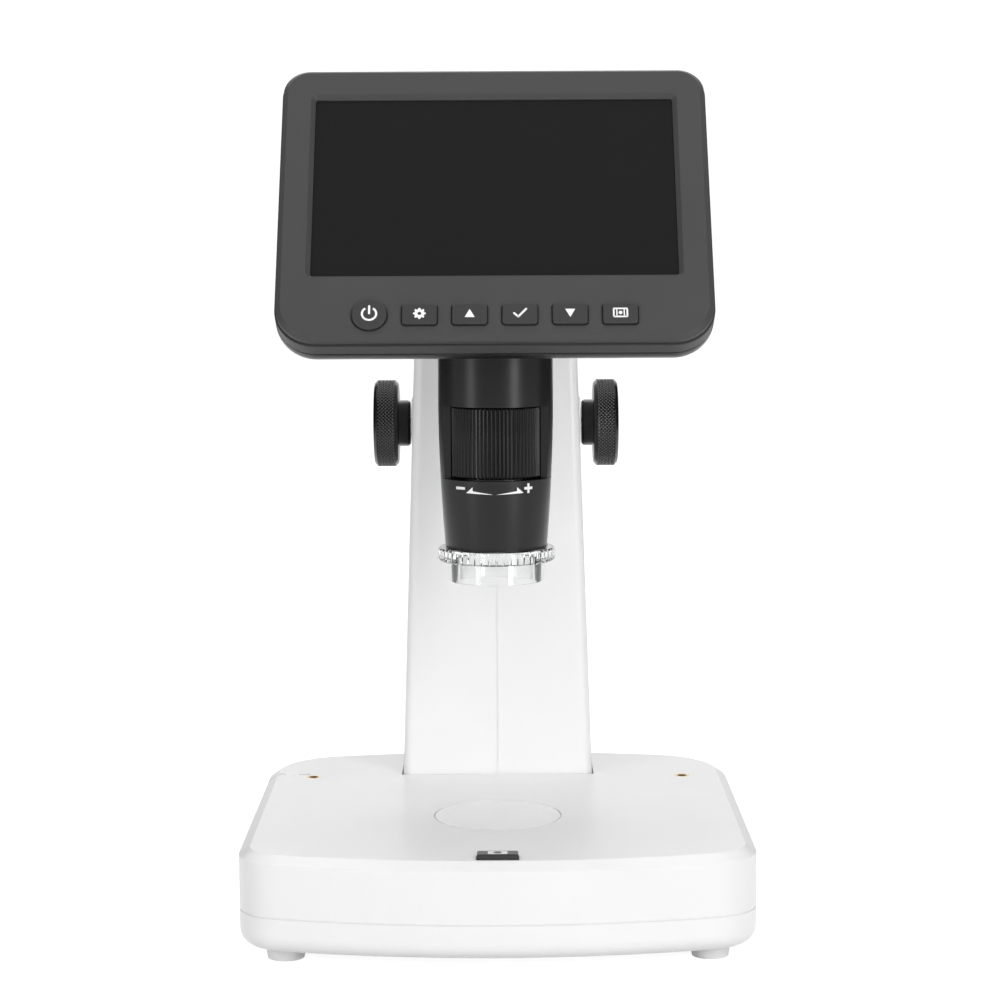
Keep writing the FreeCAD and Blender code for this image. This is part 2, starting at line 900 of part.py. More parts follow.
wheel_z = base_top + dim.dimmer_rise - dim.dimmer_radius
pot_end = dim.dimmer_y - dim.dimmer_thick / 2 - dim.base_gap * 3
pot_start = pot_end - dim.pot_length
pot_half = dim.pot_width / 2
pot_board_top = wheel_z - dim.pot_drop
pot_board_left = dim.dimmer_x - dim.pot_board_edge
pot_board_front = pot_start - dim.pot_board_edge
pot_board_right = pot_board_left + dim.pot_board_width
pot_board_back = pot_board_front + dim.pot_board_depth
pot_posts = [(dim.dimmer_x + dim.pot_post_x, y)
             for y in (pot_board_front + dim.pot_post_end, pot_board_back - dim.pot_post_end)]


def make_dimmer():
    body = new_body("dimmer_wheel")
    half = dim.dimmer_thick / 2
    bore = dim.dimmer_shaft + dim.running_gap / 2
    edge = dim.dimmer_edge
    rim = dim.dimmer_radius
    turn(body, profile((bore, -half), (rim - edge, -half), (rim, -half + edge), (rim, half - edge),
                       (rim - edge, half), (bore, half)))
    notch = extrude(body, "Z", -half, half, rectangle(rim - edge, rim + edge, -edge, edge), cut=True)
    around(body, notch, dim.dimmer_notches)
    keep("dimmer_wheel", place(body, dim.dimmer_x, dim.dimmer_y, wheel_z, Vector(-1, 0, 0), 90))

    pot = block("pot_case", dim.dimmer_x - pot_half, dim.dimmer_x + pot_half, pot_start, pot_end,
                pot_board_top, roof - dim.base_gap)
    shaft = cylinder("pot_shaft", "Y", dim.dimmer_x, pot_end, wheel_z, dim.dimmer_shaft,
                     dim.dimmer_y + dim.dimmer_thick / 2 - pot_end)
    keep("dimmer_pot", joined("dimmer_pot", pot, shaft))

    board = new_body("base_board")
    extrude(board, "Z", pot_board_top - dim.board_thick, pot_board_top,
            rounded(pot_board_left, pot_board_right, pot_board_front, pot_board_back, dim.board_corner))
    plug_left = dim.dimmer_x + dim.pot_width
    plug_back = pot_board_back - dim.pot_board_edge
    extrude(board, "Z", pot_board_top, pot_board_top + dim.pot_width / 2,
            rectangle(plug_left, plug_left + dim.pot_width, plug_back - dim.pot_length, plug_back))
    keep("base_board", board)


def make_clip_sockets():
    sockets = []
    for side in SIDES:
        body = new_body("clip_socket")
        low = base_top - dim.clip_depth - dim.clip_floor
        extrude(body, "Z", low, base_top, circle(0, 0, dim.clip_outer))
        extrude(body, "Z", base_top - dim.clip_depth, base_top, circle(0, 0, dim.clip_bore), cut=True)
        sockets.append(place(body, side * dim.clip_x, dim.clip_y, 0))
    grouped("clip_sockets", *sockets)


def make_top_shell():
    body = new_body("base_top_shell")
    form = base_form(body, shell_bottom, base_top)
    chamfer(body, form, dim.edge_drop, flat_at("Z", base_top), dim.edge_slope)
    base_form(body, shell_bottom, roof, dim.base_wall, hollow=True)

    extrude(body, "Z", ring_bottom, roof, circle(0, dim.axis_y, dim.stage_radius + dim.stage_rim))
    extrude(body, "Z", disc_bottom, base_top,
            circle(0, dim.axis_y, dim.stage_radius + dim.fit_gap * 2), cut=True)
    extrude(body, "Z", ring_bottom, base_top, circle(0, dim.axis_y, ledge_radius), cut=True)

    clips = [(side * dim.clip_x, dim.clip_y) for side in SIDES]
    clip_low = base_top - dim.clip_depth - dim.clip_floor - dim.base_wall
    extrude(body, "Z", clip_low, roof, *[circle(x, y, dim.clip_boss) for x, y in clips])
    extrude(body, "Z", base_top - dim.clip_depth - dim.clip_floor, base_top,
            *[circle(x, y, dim.clip_outer + dim.fit_gap) for x, y in clips], cut=True)

    extrude(body, "Z", tray_top, roof,
            *[circle(x, y, dim.boss_radius - dim.boss_relief) for x, y in BASE_SCREWS])
    extrude(body, "Z", tray_top, roof - dim.base_wall,
            *[circle(x, y, boss_hole) for x, y in BASE_SCREWS], cut=True)

    x = dim.shot_width / 2 + dim.free_gap
    y = dim.shot_depth / 2 + dim.free_gap
    post_x, post_y = shot_post
    extrude(body, "Z", shot_board_top, roof,
            *[circle(side * post_x, post_y, dim.post_radius) for side in SIDES])
    extrude(body, "Z", roof, base_top, rectangle(-x, x, dim.shot_y - y, dim.shot_y + y), cut=True)

    extrude(body, "Z", pot_board_top, roof, *[circle(x, y, dim.post_radius) for x, y in pot_posts])
    slot_half = dim.dimmer_thick / 2 + dim.free_gap
    reach = dim.dimmer_radius + dim.free_gap
    extrude(body, "Z", wheel_z - reach, base_top,
            rectangle(dim.dimmer_x - reach, dim.dimmer_x + reach,
                      dim.dimmer_y - slot_half, dim.dimmer_y + slot_half), cut=True)

    half = column_half(roof) + dim.base_gap
    extrude(body, "Z", roof, base_top,
            rectangle(-half, half, dim.column_front - dim.base_gap, column_back(roof) + dim.base_gap),
            cut=True)
    keep("base_top_shell", body)


make_plate()
make_tray()
make_block_screws()
make_feet()
make_base_screws()
make_stage()
make_snapshot()
make_dimmer()
make_clip_sockets()
make_top_shell()

# Column: two moulded halves that meet on a seam, standing on the ballast plate

hub_bore = dim.shaft_radius + dim.running_gap + dim.shaft_bush_wall + dim.fit_gap
side_boss_x = column_half(dim.shaft_z) + dim.side_boss_rise
bush_inner = side_boss_x - dim.shaft_bush_length
COLUMN_SCREW_SHARES = (0.12, 0.40, 0.84)
COLUMN_SCREW_REACH = 0.6
column_screw_levels = [base_top + (dim.column_top - base_top) * share for share in COLUMN_SCREW_SHARES]


def along_x(side, near_x, far_x):
    """A stretch along X on one side of the seam, lower end first."""
    return (near_x, far_x) if side > 0 else (-far_x, -near_x)


def column_form(body, low, high, inset, side, seam):
    """One half of the tapering column between two levels, drawn in by an inset."""
    front = dim.column_front + inset
    foot, head = column_half(low) - inset, column_half(high) - inset
    start, stop = along_x(side, seam, foot)
    extrude(body, "X", start, stop,
            profile((front, low), (column_back(low) - inset, low),
                    (column_back(high) - inset, high), (front, high)))
    wedge = [(side * foot, low), (side * (foot + 1), low), (side * (foot + 1), high), (side * head, high)]
    form = extrude(body, "Y", front - 1, column_back(low) + 1,
                   profile(*(wedge if side > 0 else wedge[::-1])), cut=True)
    back = (column_back(low) + column_back(high)) / 2 - inset
    tall = float(high - low) / 2
    for radius, level_y in ((dim.column_front_round, front), (dim.column_back_round, back)):

        def long_corner(edge, level_y=level_y):
            box = edge.BoundBox
            outer = abs(box.Center.x) > float(head) / 2
            return outer and box.ZLength > tall and abs(box.Center.y - float(level_y)) < 1

        form = fillet(body, form, radius - inset, long_corner)
    return form


def make_column_shell(label, side):
    body = new_body(label)
    seam = dim.seam_gap / 2
    form = column_form(body, plate_top, dim.column_top, term(0), side, seam)
    fillet(body, form, dim.column_top_round,
           both(flat_at("Z", dim.column_top),
                lambda edge: abs(edge.BoundBox.Center.x) > float(seam + dim.fit_gap)))
    core = new_body(f"{label}_core")
    column_form(core, plate_top, dim.column_top - dim.column_wall, dim.column_wall, side, term(0))
    hollow = body.newObject("PartDesign::Boolean", f"{label}_hollow")
    hollow.setObjects([core])
    hollow.Type = "Cut"

    slot = dim.slot_width / 2
    extrude(body, "Y", dim.column_front, dim.column_front + dim.column_wall,
            rectangle(term(0), side * slot, dim.slot_bottom, dim.slot_top), cut=True)

    extrude(body, "X", *along_x(side, bush_inner, side_boss_x),
            circle(dim.shaft_y, dim.shaft_z, dim.side_boss_radius))
    extrude(body, "X", *along_x(side, term(0), side_boss_x + 1),
            circle(dim.shaft_y, dim.shaft_z, hub_bore), cut=True)

    for level in column_screw_levels:
        reach = column_half(level) - dim.column_wall / 2
        extrude(body, "X", *along_x(side, seam, reach), circle(dim.column_screw_y, level, dim.screw_head))
        hole = (term(0), reach - dim.column_wall) if side > 0 else (-reach - 5, term(0))
        extrude(body, "X", hole[0], hole[1], circle(dim.column_screw_y, level, boss_hole), cut=True)
        if side < 0:
            sink = column_half(level) - dim.column_wall
            extrude(body, "X", -sink - 9, -sink,
                    circle(dim.column_screw_y, level, dim.screw_head + dim.free_gap), cut=True)
    keep(label, body)


def make_column_screws():
    """Three screws through the left half into posts of the right one."""
    screws = []
    for level in column_screw_levels:
        start = column_half(level) - dim.column_wall
        length = start + column_half(level) * COLUMN_SCREW_REACH
        piece = screw("column_screw", dim.screw_head, dim.column_screw_head, dim.screw_radius, length)
        screws.append(place(piece, -start - dim.column_screw_head, dim.column_screw_y, level,
                            Vector(0, 1, 0), 90))
    grouped("column_screws", *screws)


# Guide rods between a foot block and a top mount, inside the column

rod_low = plate_top + dim.rod_socket
mount_low = dim.column_top - dim.column_wall - dim.free_gap - dim.rod_mount_height
mount_top = mount_low + dim.rod_mount_height
rod_high = mount_top - dim.rod_mount_roof
inner_front = dim.column_front + dim.column_wall + dim.base_gap
RODS = [side * dim.rod_x for side in SIDES]


def make_rods():
    body = new_body("foot_block")
    half = dim.block_width / 2
    block_back = dim.column_front + dim.column_depth - dim.column_wall * 3
    top = plate_top + dim.block_height
    form = extrude(body, "Z", plate_top, top, rectangle(-half, half, inner_front, block_back))
    chamfer(body, form, dim.block_edge, flat_at("Z", top))
    extrude(body, "Z", rod_low, top,
            *[circle(x, dim.rod_y, dim.rod_radius + dim.fit_gap) for x in RODS], cut=True)
    extrude(body, "Z", plate_top, plate_top + dim.block_hole,
            *[circle(x, block_screw_y, boss_hole) for x in BLOCK_SCREWS], cut=True)
    keep("foot_block", body)

    mount = new_body("top_rod_mount")
    reach = column_half(mount_top) - dim.column_wall - dim.base_gap
    mount_back = column_back(mount_top) - dim.column_wall - dim.base_gap
    corner = dim.column_back_round - dim.column_wall
    extrude(mount, "Z", mount_low, mount_top,
            rounded(-reach, reach, inner_front, mount_back, dim.block_edge, corner))
    extrude(mount, "Z", mount_low, rod_high + dim.fit_gap,
            *[circle(x, dim.rod_y, dim.rod_radius + dim.fit_gap) for x in RODS], cut=True)
    keep("top_rod_mount", mount)

    rods = [cylinder("guide_rod", "Z", x, dim.rod_y, rod_low, dim.rod_radius, rod_high - rod_low)
            for x in RODS]
    grouped("guide_rods", *rods)


# Carriage with four plain bushes, and the rack in its back channel

# Depths of the teeth from their pitch line, in modules
RACK_ROOT = 1.25
RACK_TIP = 0.9
PINION_ROOT = 1.15

bush_bore = dim.rod_radius + dim.running_gap
bush_outer = bush_bore + dim.bush_wall
carriage_front = inner_front
carriage_top = dim.carriage_bottom + dim.carriage_height
pitch_radius = dim.gear_module * dim.pinion_teeth / 2
pitch_y = dim.shaft_y - pitch_radius
rack_root = pitch_y - dim.gear_module * RACK_ROOT
rack_foot = rack_root - dim.rack_foot
rack_tip = pitch_y + dim.gear_module * RACK_TIP
tongue_back = carriage_front + dim.arm_tongue
arm_top = dim.arm_bottom + dim.arm_height
ARM_SCREWS_X = [side * (dim.channel_width / 2 + dim.arm_screw_head) for side in SIDES]
ARM_SCREWS_Z = [dim.arm_bottom + dim.carriage_screw_end, arm_top - dim.carriage_screw_end]


def make_carriage():
    body = new_body("carriage")
    half = dim.carriage_width / 2
    back = carriage_front + dim.carriage_thick
    extrude(body, "Z", dim.carriage_bottom, carriage_top,
            rounded(-half, half, carriage_front, back, dim.carriage_corner))
    channel = dim.channel_width / 2
    extrude(body, "Z", dim.carriage_bottom, carriage_top,
            rectangle(-channel, channel, rack_foot, back), cut=True)
    extrude(body, "Z", dim.carriage_bottom, carriage_top,
            *[circle(x, dim.rod_y, bush_outer - dim.bush_wall / 2) for x in RODS], cut=True)
    for low in (dim.carriage_bottom, carriage_top - dim.bush_length):
        extrude(body, "Z", low, low + dim.bush_length,
                *[circle(x, dim.rod_y, bush_outer + dim.fit_gap) for x in RODS], cut=True)
    arm = dim.arm_width / 2 + dim.fit_gap
    extrude(body, "Y", carriage_front, tongue_back,
            rectangle(-arm, arm, dim.arm_bottom - dim.fit_gap, arm_top + dim.fit_gap), cut=True)
    places = [(x, z) for x in ARM_SCREWS_X for z in ARM_SCREWS_Z]
    extrude(body, "Y", carriage_front, back,
            *[circle(x, z, dim.arm_screw_radius + dim.fit_gap) for x, z in places], cut=True)
    extrude(body, "Y", back - dim.screw_head_height, back,
            *[circle(x, z, dim.arm_screw_head + dim.fit_gap) for x, z in places], cut=True)
    keep("carriage", body)

    bushes = []
    for x in RODS:
        for low in (dim.carriage_bottom, carriage_top - dim.bush_length):
            bush = new_body("carriage_bush")
            turn(bush, profile((bush_bore, 0), (bush_outer, 0), (bush_outer, dim.bush_length),
                               (bush_bore, dim.bush_length)))
            bushes.append(place(bush, x, dim.rod_y, low))
    grouped("carriage_bushes", *bushes)


def make_rack():
    """Straight teeth, set out by a formula along the channel."""
    low = float(dim.carriage_bottom + dim.rack_end)
    high = float(carriage_top - dim.rack_end)
    pitch = math.pi * float(dim.gear_module)
    slope = float(tangent(dim.pressure_angle))
    root_y, pitch_line, tip_y = float(rack_root), float(pitch_y), float(rack_tip)
    thick = pitch / 2 - float(dim.gear_backlash) / 2
    first = float(dim.shaft_z) - pitch * math.floor((float(dim.shaft_z) - low - pitch) / pitch) - pitch / 2
    centres = []
    centre = first
    while centre + pitch < high:
        centres.append(centre)
        centre += pitch
    points = [Vector(0, root_y, low)]
    for centre in centres:
        wide = thick / 2 + (pitch_line - root_y) * slope
        narrow = thick / 2 - (tip_y - pitch_line) * slope
        points += [Vector(0, root_y, centre - wide), Vector(0, tip_y, centre - narrow),
                   Vector(0, tip_y, centre + narrow), Vector(0, root_y, centre + wide)]
    points += [Vector(0, root_y, high), Vector(0, float(rack_foot), high), Vector(0, float(rack_foot), low)]
    face = Part.Face(Part.makePolygon(points + points[:1]))
    width = float(dim.gear_face + dim.rack_side * 2)
    rack = doc.addObject("Part::Feature", "rack")
    rack.Shape = face.extrude(Vector(width, 0, 0))
    keep("rack", place(rack, term(-width / 2), 0, 0))


# Knob shaft with its pinion, turning in a bush in each side of the column

def involute(base, radius):
    """How far a tooth flank has turned from its base circle where it meets a wider circle."""
    roll = math.sqrt(max((radius / base) ** 2 - 1, 0))
    return roll - math.atan(roll)


def make_pinion():
    """Involute teeth round the shaft, one of them towards the rack."""
    module = float(dim.gear_module)
    teeth = int(round(float(dim.pinion_teeth)))
    pitch_circle = module * teeth / 2
    base = pitch_circle * float(cosine(dim.pressure_angle))
    tip = pitch_circle + module
    root_circle = pitch_circle - module * PINION_ROOT
    half_tooth = (math.pi * module / 2 - float(dim.gear_backlash) / 2) / (2 * pitch_circle)
    start = half_tooth + involute(base, pitch_circle)
    steps = [max(base, root_circle) + (tip - max(base, root_circle)) * k / 3 for k in range(4)]
    flank = [(radius, start - involute(base, radius)) for radius in steps]
    if root_circle < base:
        flank.insert(0, (root_circle, start))
    points = []
    for tooth in range(teeth):
        middle = 2 * math.pi * tooth / teeth
        rising = [(radius, -angle) for radius, angle in flank]
        for radius, angle in rising + flank[::-1]:
            points.append(Vector(0, radius * math.cos(middle + angle), radius * math.sin(middle + angle)))
    face = Part.Face(Part.makePolygon(points + points[:1]))
    bore = Part.Face(Part.Wire(Part.makeCircle(float(dim.shaft_radius) + float(dim.fit_gap) / 5,
                                               Vector(0, 0, 0), Vector(1, 0, 0))))
    pinion = doc.addObject("Part::Feature", "pinion")
    pinion.Shape = face.cut(bore).extrude(Vector(float(dim.gear_face), 0, 0))
    keep("pinion", place(pinion, -dim.gear_face / 2, dim.shaft_y, dim.shaft_z))


hub_start = side_boss_x + dim.hub_gap
knob_start = hub_start + dim.hub_length
knob_end = knob_start + dim.knob_length


def make_knobs():
    shaft_half = knob_end - dim.knob_dish * 2
    shaft = cylinder("knob_shaft", "X", -shaft_half, dim.shaft_y, dim.shaft_z,
                     dim.shaft_radius, shaft_half * 2)
    keep("knob_shaft", shaft)
    for side, label in zip(SIDES, ("knob_left", "knob_right")):
        body = new_body(label)
        bore = dim.shaft_radius + dim.fit_gap / 5
        edge = dim.knob_edge
        dish = dim.knob_radius - dim.knob_rim
        face = knob_end - dim.knob_dish
        turn(body, profile(
            (bore, hub_start), (dim.hub_radius - dim.hub_edge, hub_start),
            (dim.hub_radius, hub_start + dim.hub_edge),
            (dim.hub_radius, knob_start), (dim.knob_radius - edge, knob_start),
            (dim.knob_radius, knob_start + edge), (dim.knob_radius, knob_end - edge),
            (dim.knob_radius - edge, knob_end), (dish + dim.knob_dish, knob_end), (dish, face), (bore, face)))
        level = hub_start + dim.hub_length / 2
        extrude(body, "Y", -dim.hub_radius - 1, term(0), circle(0, level, dim.set_screw_radius), cut=True)
        keep(label, place(body, 0, dim.shaft_y, dim.shaft_z, Vector(0, 1, 0), side * 90))
    screws = []
    for side in SIDES:
        length = dim.hub_radius - dim.shaft_radius - dim.set_screw_inset
        pin = cylinder("set_screw", "Y", side * (hub_start + dim.hub_length / 2),
                       dim.shaft_y - dim.shaft_radius - length - dim.fit_gap / 5, dim.shaft_z,
                       dim.set_screw_radius - dim.fit_gap, length)
        screws.append(pin)
    grouped("knob_set_screws", *screws)


def make_shaft_bushes():
    bushes = []
    bore = dim.shaft_radius + dim.running_gap
    for side in SIDES:
        bush = new_body("shaft_bush")
        outer = side_boss_x + dim.fit_gap * 3
        turn(bush, profile((bore, bush_inner), (bore + dim.shaft_bush_wall, bush_inner),
                           (bore + dim.shaft_bush_wall, outer), (bore, outer)))
        bushes.append(place(bush, 0, dim.shaft_y, dim.shaft_z, Vector(0, 1, 0), side * 90))
    grouped("shaft_bushes", *bushes)


make_column_shell("column_right_shell", 1)
make_column_shell("column_left_shell", -1)
make_column_screws()
make_rods()
make_carriage()
make_rack()
make_pinion()
make_knobs()
make_shaft_bushes()

# Screen head, drawn in its own leaning frame: x across, y up the screen, z out of it

frame_back = -dim.frame_depth
cover_front = frame_back - dim.head_gap
cover_back = cover_front - dim.cover_depth
glass_front = -dim.front_wall
glass_back = glass_front - dim.glass_thick
panel_front = glass_back - dim.stack_gap
panel_back = panel_front - dim.panel_thick
main_front = panel_back - dim.main_board_gap
main_back = main_front - dim.head_board_thick
battery_front = main_back - dim.stack_gap * 3
key_board_back = main_front + dim.free_gap
key_board_front = key_board_back + dim.head_board_thick
KEY_LABELS = ("power_button", "menu_button", "up_button", "enter_button", "down_button", "mode_button")
key_places = [dim.key_pitch * (k - (len(KEY_LABELS) - 1) / 2) for k in range(len(KEY_LABELS))]
key_flange_front = -dim.front_wall - dim.base_gap
key_flange_back = key_flange_front - dim.key_flange_thick
key_stem_back = key_flange_back - dim.key_stem
HEAD_SCREWS = [(side * dim.head_screw_x, y) for side in SIDES
               for y in (dim.head_screw_low, dim.head_screw_high)]


def head_plan(inset):
    """The outline of the screen head, drawn in by an inset."""
    half = dim.head_width / 2 - inset
    return rounded(-half, half, dim.head_low + inset, dim.head_high - inset,
                   dim.head_low_corner - inset, dim.head_high_corner - inset)


def window_plan(grow):
    x = dim.window_width / 2 + grow
    y = dim.window_height / 2 + grow
    middle = dim.window_middle
    return rounded(-x, x, middle - y, middle + y, dim.window_corner + grow)


def inside_window(edge):
    """Whether an edge lies within the window's outline."""
    box = edge.BoundBox
    reach_x = float(dim.window_width / 2 + dim.fit_gap)
    reach_y = float(dim.window_height / 2 + dim.fit_gap)
    middle = float(dim.window_middle)
    across = max(abs(box.XMin), abs(box.XMax))
    upwards = max(abs(box.YMin - middle), abs(box.YMax - middle))
    return across < reach_x and upwards < reach_y


def key_plan(x, grow=0.0):
    """The first key is round and the others are upright rectangles."""
    if x is key_places[0]:
        return circle(x, dim.key_row, dim.key_width / 2 + grow)
    half_width = dim.key_width / 2 + grow
    half_height = dim.key_height / 2 + grow
    return rounded(x - half_width, x + half_width, dim.key_row - half_height, dim.key_row + half_height,
                   dim.key_corner + grow)


def make_front_frame():
    body = new_body("head_front_frame")
    lip = -dim.frame_lip
    groove = lip - dim.frame_groove
    extrude(body, "Z", frame_back, groove, head_plan(term(0)))
    extrude(body, "Z", groove, lip, head_plan(dim.groove_inset + dim.lip_inset))
    form = extrude(body, "Z", lip, term(0), head_plan(dim.lip_inset))
    chamfer(body, form, dim.frame_edge, flat_at("Z", 0))
    extrude(body, "Z", frame_back, glass_front, head_plan(dim.head_wall), cut=True)
    extrude(body, "Z", frame_back, glass_front, *[circle(x, y, dim.head_boss) for x, y in HEAD_SCREWS])
    extrude(body, "Z", frame_back, glass_front - dim.front_wall / 2,
            *[circle(x, y, dim.head_screw_radius + dim.fit_gap) for x, y in HEAD_SCREWS], cut=True)
    form = extrude(body, "Z", glass_front, term(0), window_plan(term(0)), cut=True)
    chamfer(body, form, dim.window_bevel, both(flat_at("Z", 0), inside_window))
    extrude(body, "Z", glass_front, term(0), *[key_plan(x, dim.free_gap) for x in key_places], cut=True)
    keep("head_front_frame", place_on_head(body))


def make_keys():
    for x, label in zip(key_places, KEY_LABELS):
        body = new_body(label)
        cap = extrude(body, "Z", key_flange_front, dim.key_rise, key_plan(x))
        fillet(body, cap, dim.key_edge, flat_at("Z", dim.key_rise))
        half_width = dim.key_width / 2 + dim.key_flange
        half_height = dim.key_height / 2 + dim.key_flange
        extrude(body, "Z", key_flange_back, key_flange_front,
                rectangle(x - half_width, x + half_width,
                          dim.key_row - half_height, dim.key_row + half_height))
        extrude(body, "Z", key_stem_back, key_flange_back, circle(x, dim.key_row, dim.key_stem_radius))
        keep(label, place_on_head(body))


# Chips on the main board: the middle of each and half its width, and how tall they are for it
CHIPS = [(term(-34), term(18), term(9)), (term(-10), term(20), term(6)),
         (term(22), term(-18), term(8)), (term(36), term(6), term(5))]
CHIP_SHAPE = 0.8


def make_screen_stack():
    glass = new_body("screen_glass")
    extrude(glass, "Z", glass_back, glass_front, window_plan(dim.glass_overlap))
    keep("screen_glass", place_on_head(glass))

    panel = new_body("lcd_panel")
    half = dim.panel_width / 2
    extrude(panel, "Z", panel_back, panel_front,
            rounded(-half, half, dim.panel_low, dim.panel_high - dim.free_gap, dim.board_corner))
    keep("lcd_panel", place_on_head(panel))

    board = new_body("main_board")
    half = dim.main_board_width / 2
    extrude(board, "Z", main_back, main_front,
            rounded(-half, half, dim.main_board_low, dim.panel_high - dim.free_gap, dim.board_corner))
    extrude(board, "Z", main_front, main_front + dim.head_board_thick,
            *[rectangle(x - size, x + size, y - size * CHIP_SHAPE, y + size * CHIP_SHAPE)
              for x, y, size in CHIPS])
    keep("main_board", place_on_head(board))

    keys = new_body("key_board")
    half = dim.key_board_width / 2
    low = dim.key_row - dim.key_board_drop
    extrude(keys, "Z", key_board_back, key_board_front,
            rounded(-half, half, low, low + dim.key_board_height, dim.board_corner))
    plunger = key_stem_back - dim.key_travel - dim.stack_gap
    switch = plunger - dim.key_plunger_height
    x_half = dim.key_switch_width / 2
    y_half = dim.key_switch_height / 2
    extrude(keys, "Z", key_board_front, switch,
            *[rectangle(x - x_half, x + x_half, dim.key_row - y_half, dim.key_row + y_half)
              for x in key_places])
    extrude(keys, "Z", switch, plunger, *[circle(x, dim.key_row, dim.key_plunger_radius) for x in key_places])
    keep("key_board", place_on_head(keys))

    battery = new_body("battery")
    x = dim.battery_x
    form = extrude(battery, "Z", battery_front - dim.battery_thick, battery_front,
                   rounded(x - dim.battery_width / 2, x + dim.battery_width / 2,
                           -dim.battery_height / 2, dim.battery_height / 2, dim.battery_corner))
    fillet(battery, form, dim.battery_corner / 2, flat_at("Z", battery_front - dim.battery_thick))
    keep("battery", place_on_head(battery))


# Sockets in the right side of the head: each a shell open to the side, with shares of its
# length for the opening and the tongue, and of its width for the tongue

socket_end = dim.head_width / 2 - dim.socket_inset
SHELL_DEPTH = 0.75
TONGUE_DEPTH = 0.8
TONGUE_WIDTH = 0.6


def make_sockets():
    sockets = (("usb_socket", dim.usb_width, dim.usb_height, dim.usb_length, term(0), dim.usb_skin),
               ("card_socket", dim.card_width, dim.card_height, dim.card_length, dim.card_place,
                dim.card_skin))
    for label, width, height, length, middle, skin in sockets:
        body = new_body(label)
        low = main_back - height
        extrude(body, "X", socket_end - length, socket_end,
                rectangle(middle - width / 2, middle + width / 2, low, main_back))
        extrude(body, "X", socket_end - length * SHELL_DEPTH, socket_end,
                rectangle(middle - width / 2 + skin, middle + width / 2 - skin, low + skin, main_back - skin),
                cut=True)
        if label == "usb_socket":
            middle_z = (low + main_back) / 2
            half = width * TONGUE_WIDTH / 2
            extrude(body, "X", socket_end - length * TONGUE_DEPTH, socket_end - dim.socket_inset,
                    rectangle(middle - half, middle + half, middle_z - skin, middle_z + skin))
        keep(label, place_on_head(body))


def make_rear_cover():
    """The moulded back of the head with a neck below it, in which the barrel is held."""
    body = new_body("rear_cover_shell")
    form = extrude(body, "Z", cover_back, cover_front, head_plan(term(0)))
    fillet(body, form, dim.cover_round, flat_at("Z", cover_back))
    core = new_body("rear_cover_core")
    inner = extrude(core, "Z", cover_back + dim.head_wall, cover_front, head_plan(dim.head_wall))
    fillet(core, inner, dim.cover_round - dim.head_wall, flat_at("Z", cover_back + dim.head_wall))
    hollow = body.newObject("PartDesign::Boolean", "rear_cover_hollow")
    hollow.setObjects([core])
    hollow.Type = "Cut"
    boss_low = cover_back + dim.cover_boss_rise
    extrude(body, "Z", boss_low, cover_front, *[circle(x, y, dim.head_boss) for x, y in HEAD_SCREWS])
    extrude(body, "Z", cover_back - 1, cover_front,
            *[circle(x, y, dim.head_screw_radius + dim.fit_gap * 2) for x, y in HEAD_SCREWS], cut=True)
    extrude(body, "Z", cover_back - 1, head_screw_seat,
            *[circle(x, y, dim.head_screw_head + dim.free_gap) for x, y in HEAD_SCREWS], cut=True)
    gap = dim.free_gap
    for width, height, middle in ((dim.usb_width, dim.usb_height, term(0)),
                                  (dim.card_width, dim.card_height, dim.card_place)):
        extrude(body, "X", dim.head_width / 2 - dim.cover_round, dim.head_width / 2 + 1,
                rectangle(middle - width / 2 - gap, middle + width / 2 + gap,
                          main_back - height - gap, main_back + gap), cut=True)
    place_on_head(body)

    neck = new_body("neck_form")
    extrude(neck, "Z", dim.neck_bottom, dim.neck_top, circle(0, dim.axis_y, dim.neck_radius))
    half = dim.neck_width / 2
    block_form = extrude(neck, "Z", dim.neck_bottom + dim.neck_step, dim.neck_top,
                         rectangle(-half, half, dim.axis_y, dim.neck_back))
    fillet(neck, block_form, dim.neck_corner, both(upright, flat_at("Y", dim.neck_back)))
    keep_out = doc.addObject("Part::Box", "neck_trim")
    bind(keep_out, "Length", dim.head_width)
    bind(keep_out, "Width", dim.head_width)
    bind(keep_out, "Height", dim.head_width)
    lean = 90 - dim.screen_lean
    back = cover_back + dim.head_wall / 2
    turned_y = dim.screen_y - sine(lean) * back - cosine(lean) * dim.head_width / 2
    turned_z = dim.screen_z + cosine(lean) * back - sine(lean) * dim.head_width / 2
    place(keep_out, -dim.head_width / 2, turned_y, turned_z, Vector(1, 0, 0), lean)
    neck_cut = cut("neck_under_cover", neck, keep_out)

    bore = cylinder("barrel_socket", "Z", 0, dim.axis_y, dim.neck_bottom - 1,
                    dim.barrel_radius + dim.fit_gap, dim.barrel_top - dim.neck_bottom + 1)
    holes = [cylinder(f"arm_hole{k}", "Y", x, dim.neck_back - dim.arm_screw_depth, z,
                      dim.arm_screw_radius + dim.fit_gap, dim.arm_screw_depth + 1)
             for k, (x, z) in enumerate(FLANGE_SCREWS)]
    keep("head_rear_cover", cut("head_rear_cover", joined("cover_and_neck", body, neck_cut), bore, *holes))


head_screw_seat = cover_back + dim.head_screw_sink
flange_low = dim.arm_bottom + (dim.arm_height - dim.arm_flange_height) / 2
flange_screw_x = dim.arm_width / 2 + dim.arm_screw_head + dim.arm_screw_side
flange_high = flange_low + dim.arm_flange_height
FLANGE_SCREWS = [(side * flange_screw_x, z) for side in SIDES
                 for z in (flange_low + dim.arm_screw_end, flange_high - dim.arm_screw_end)]


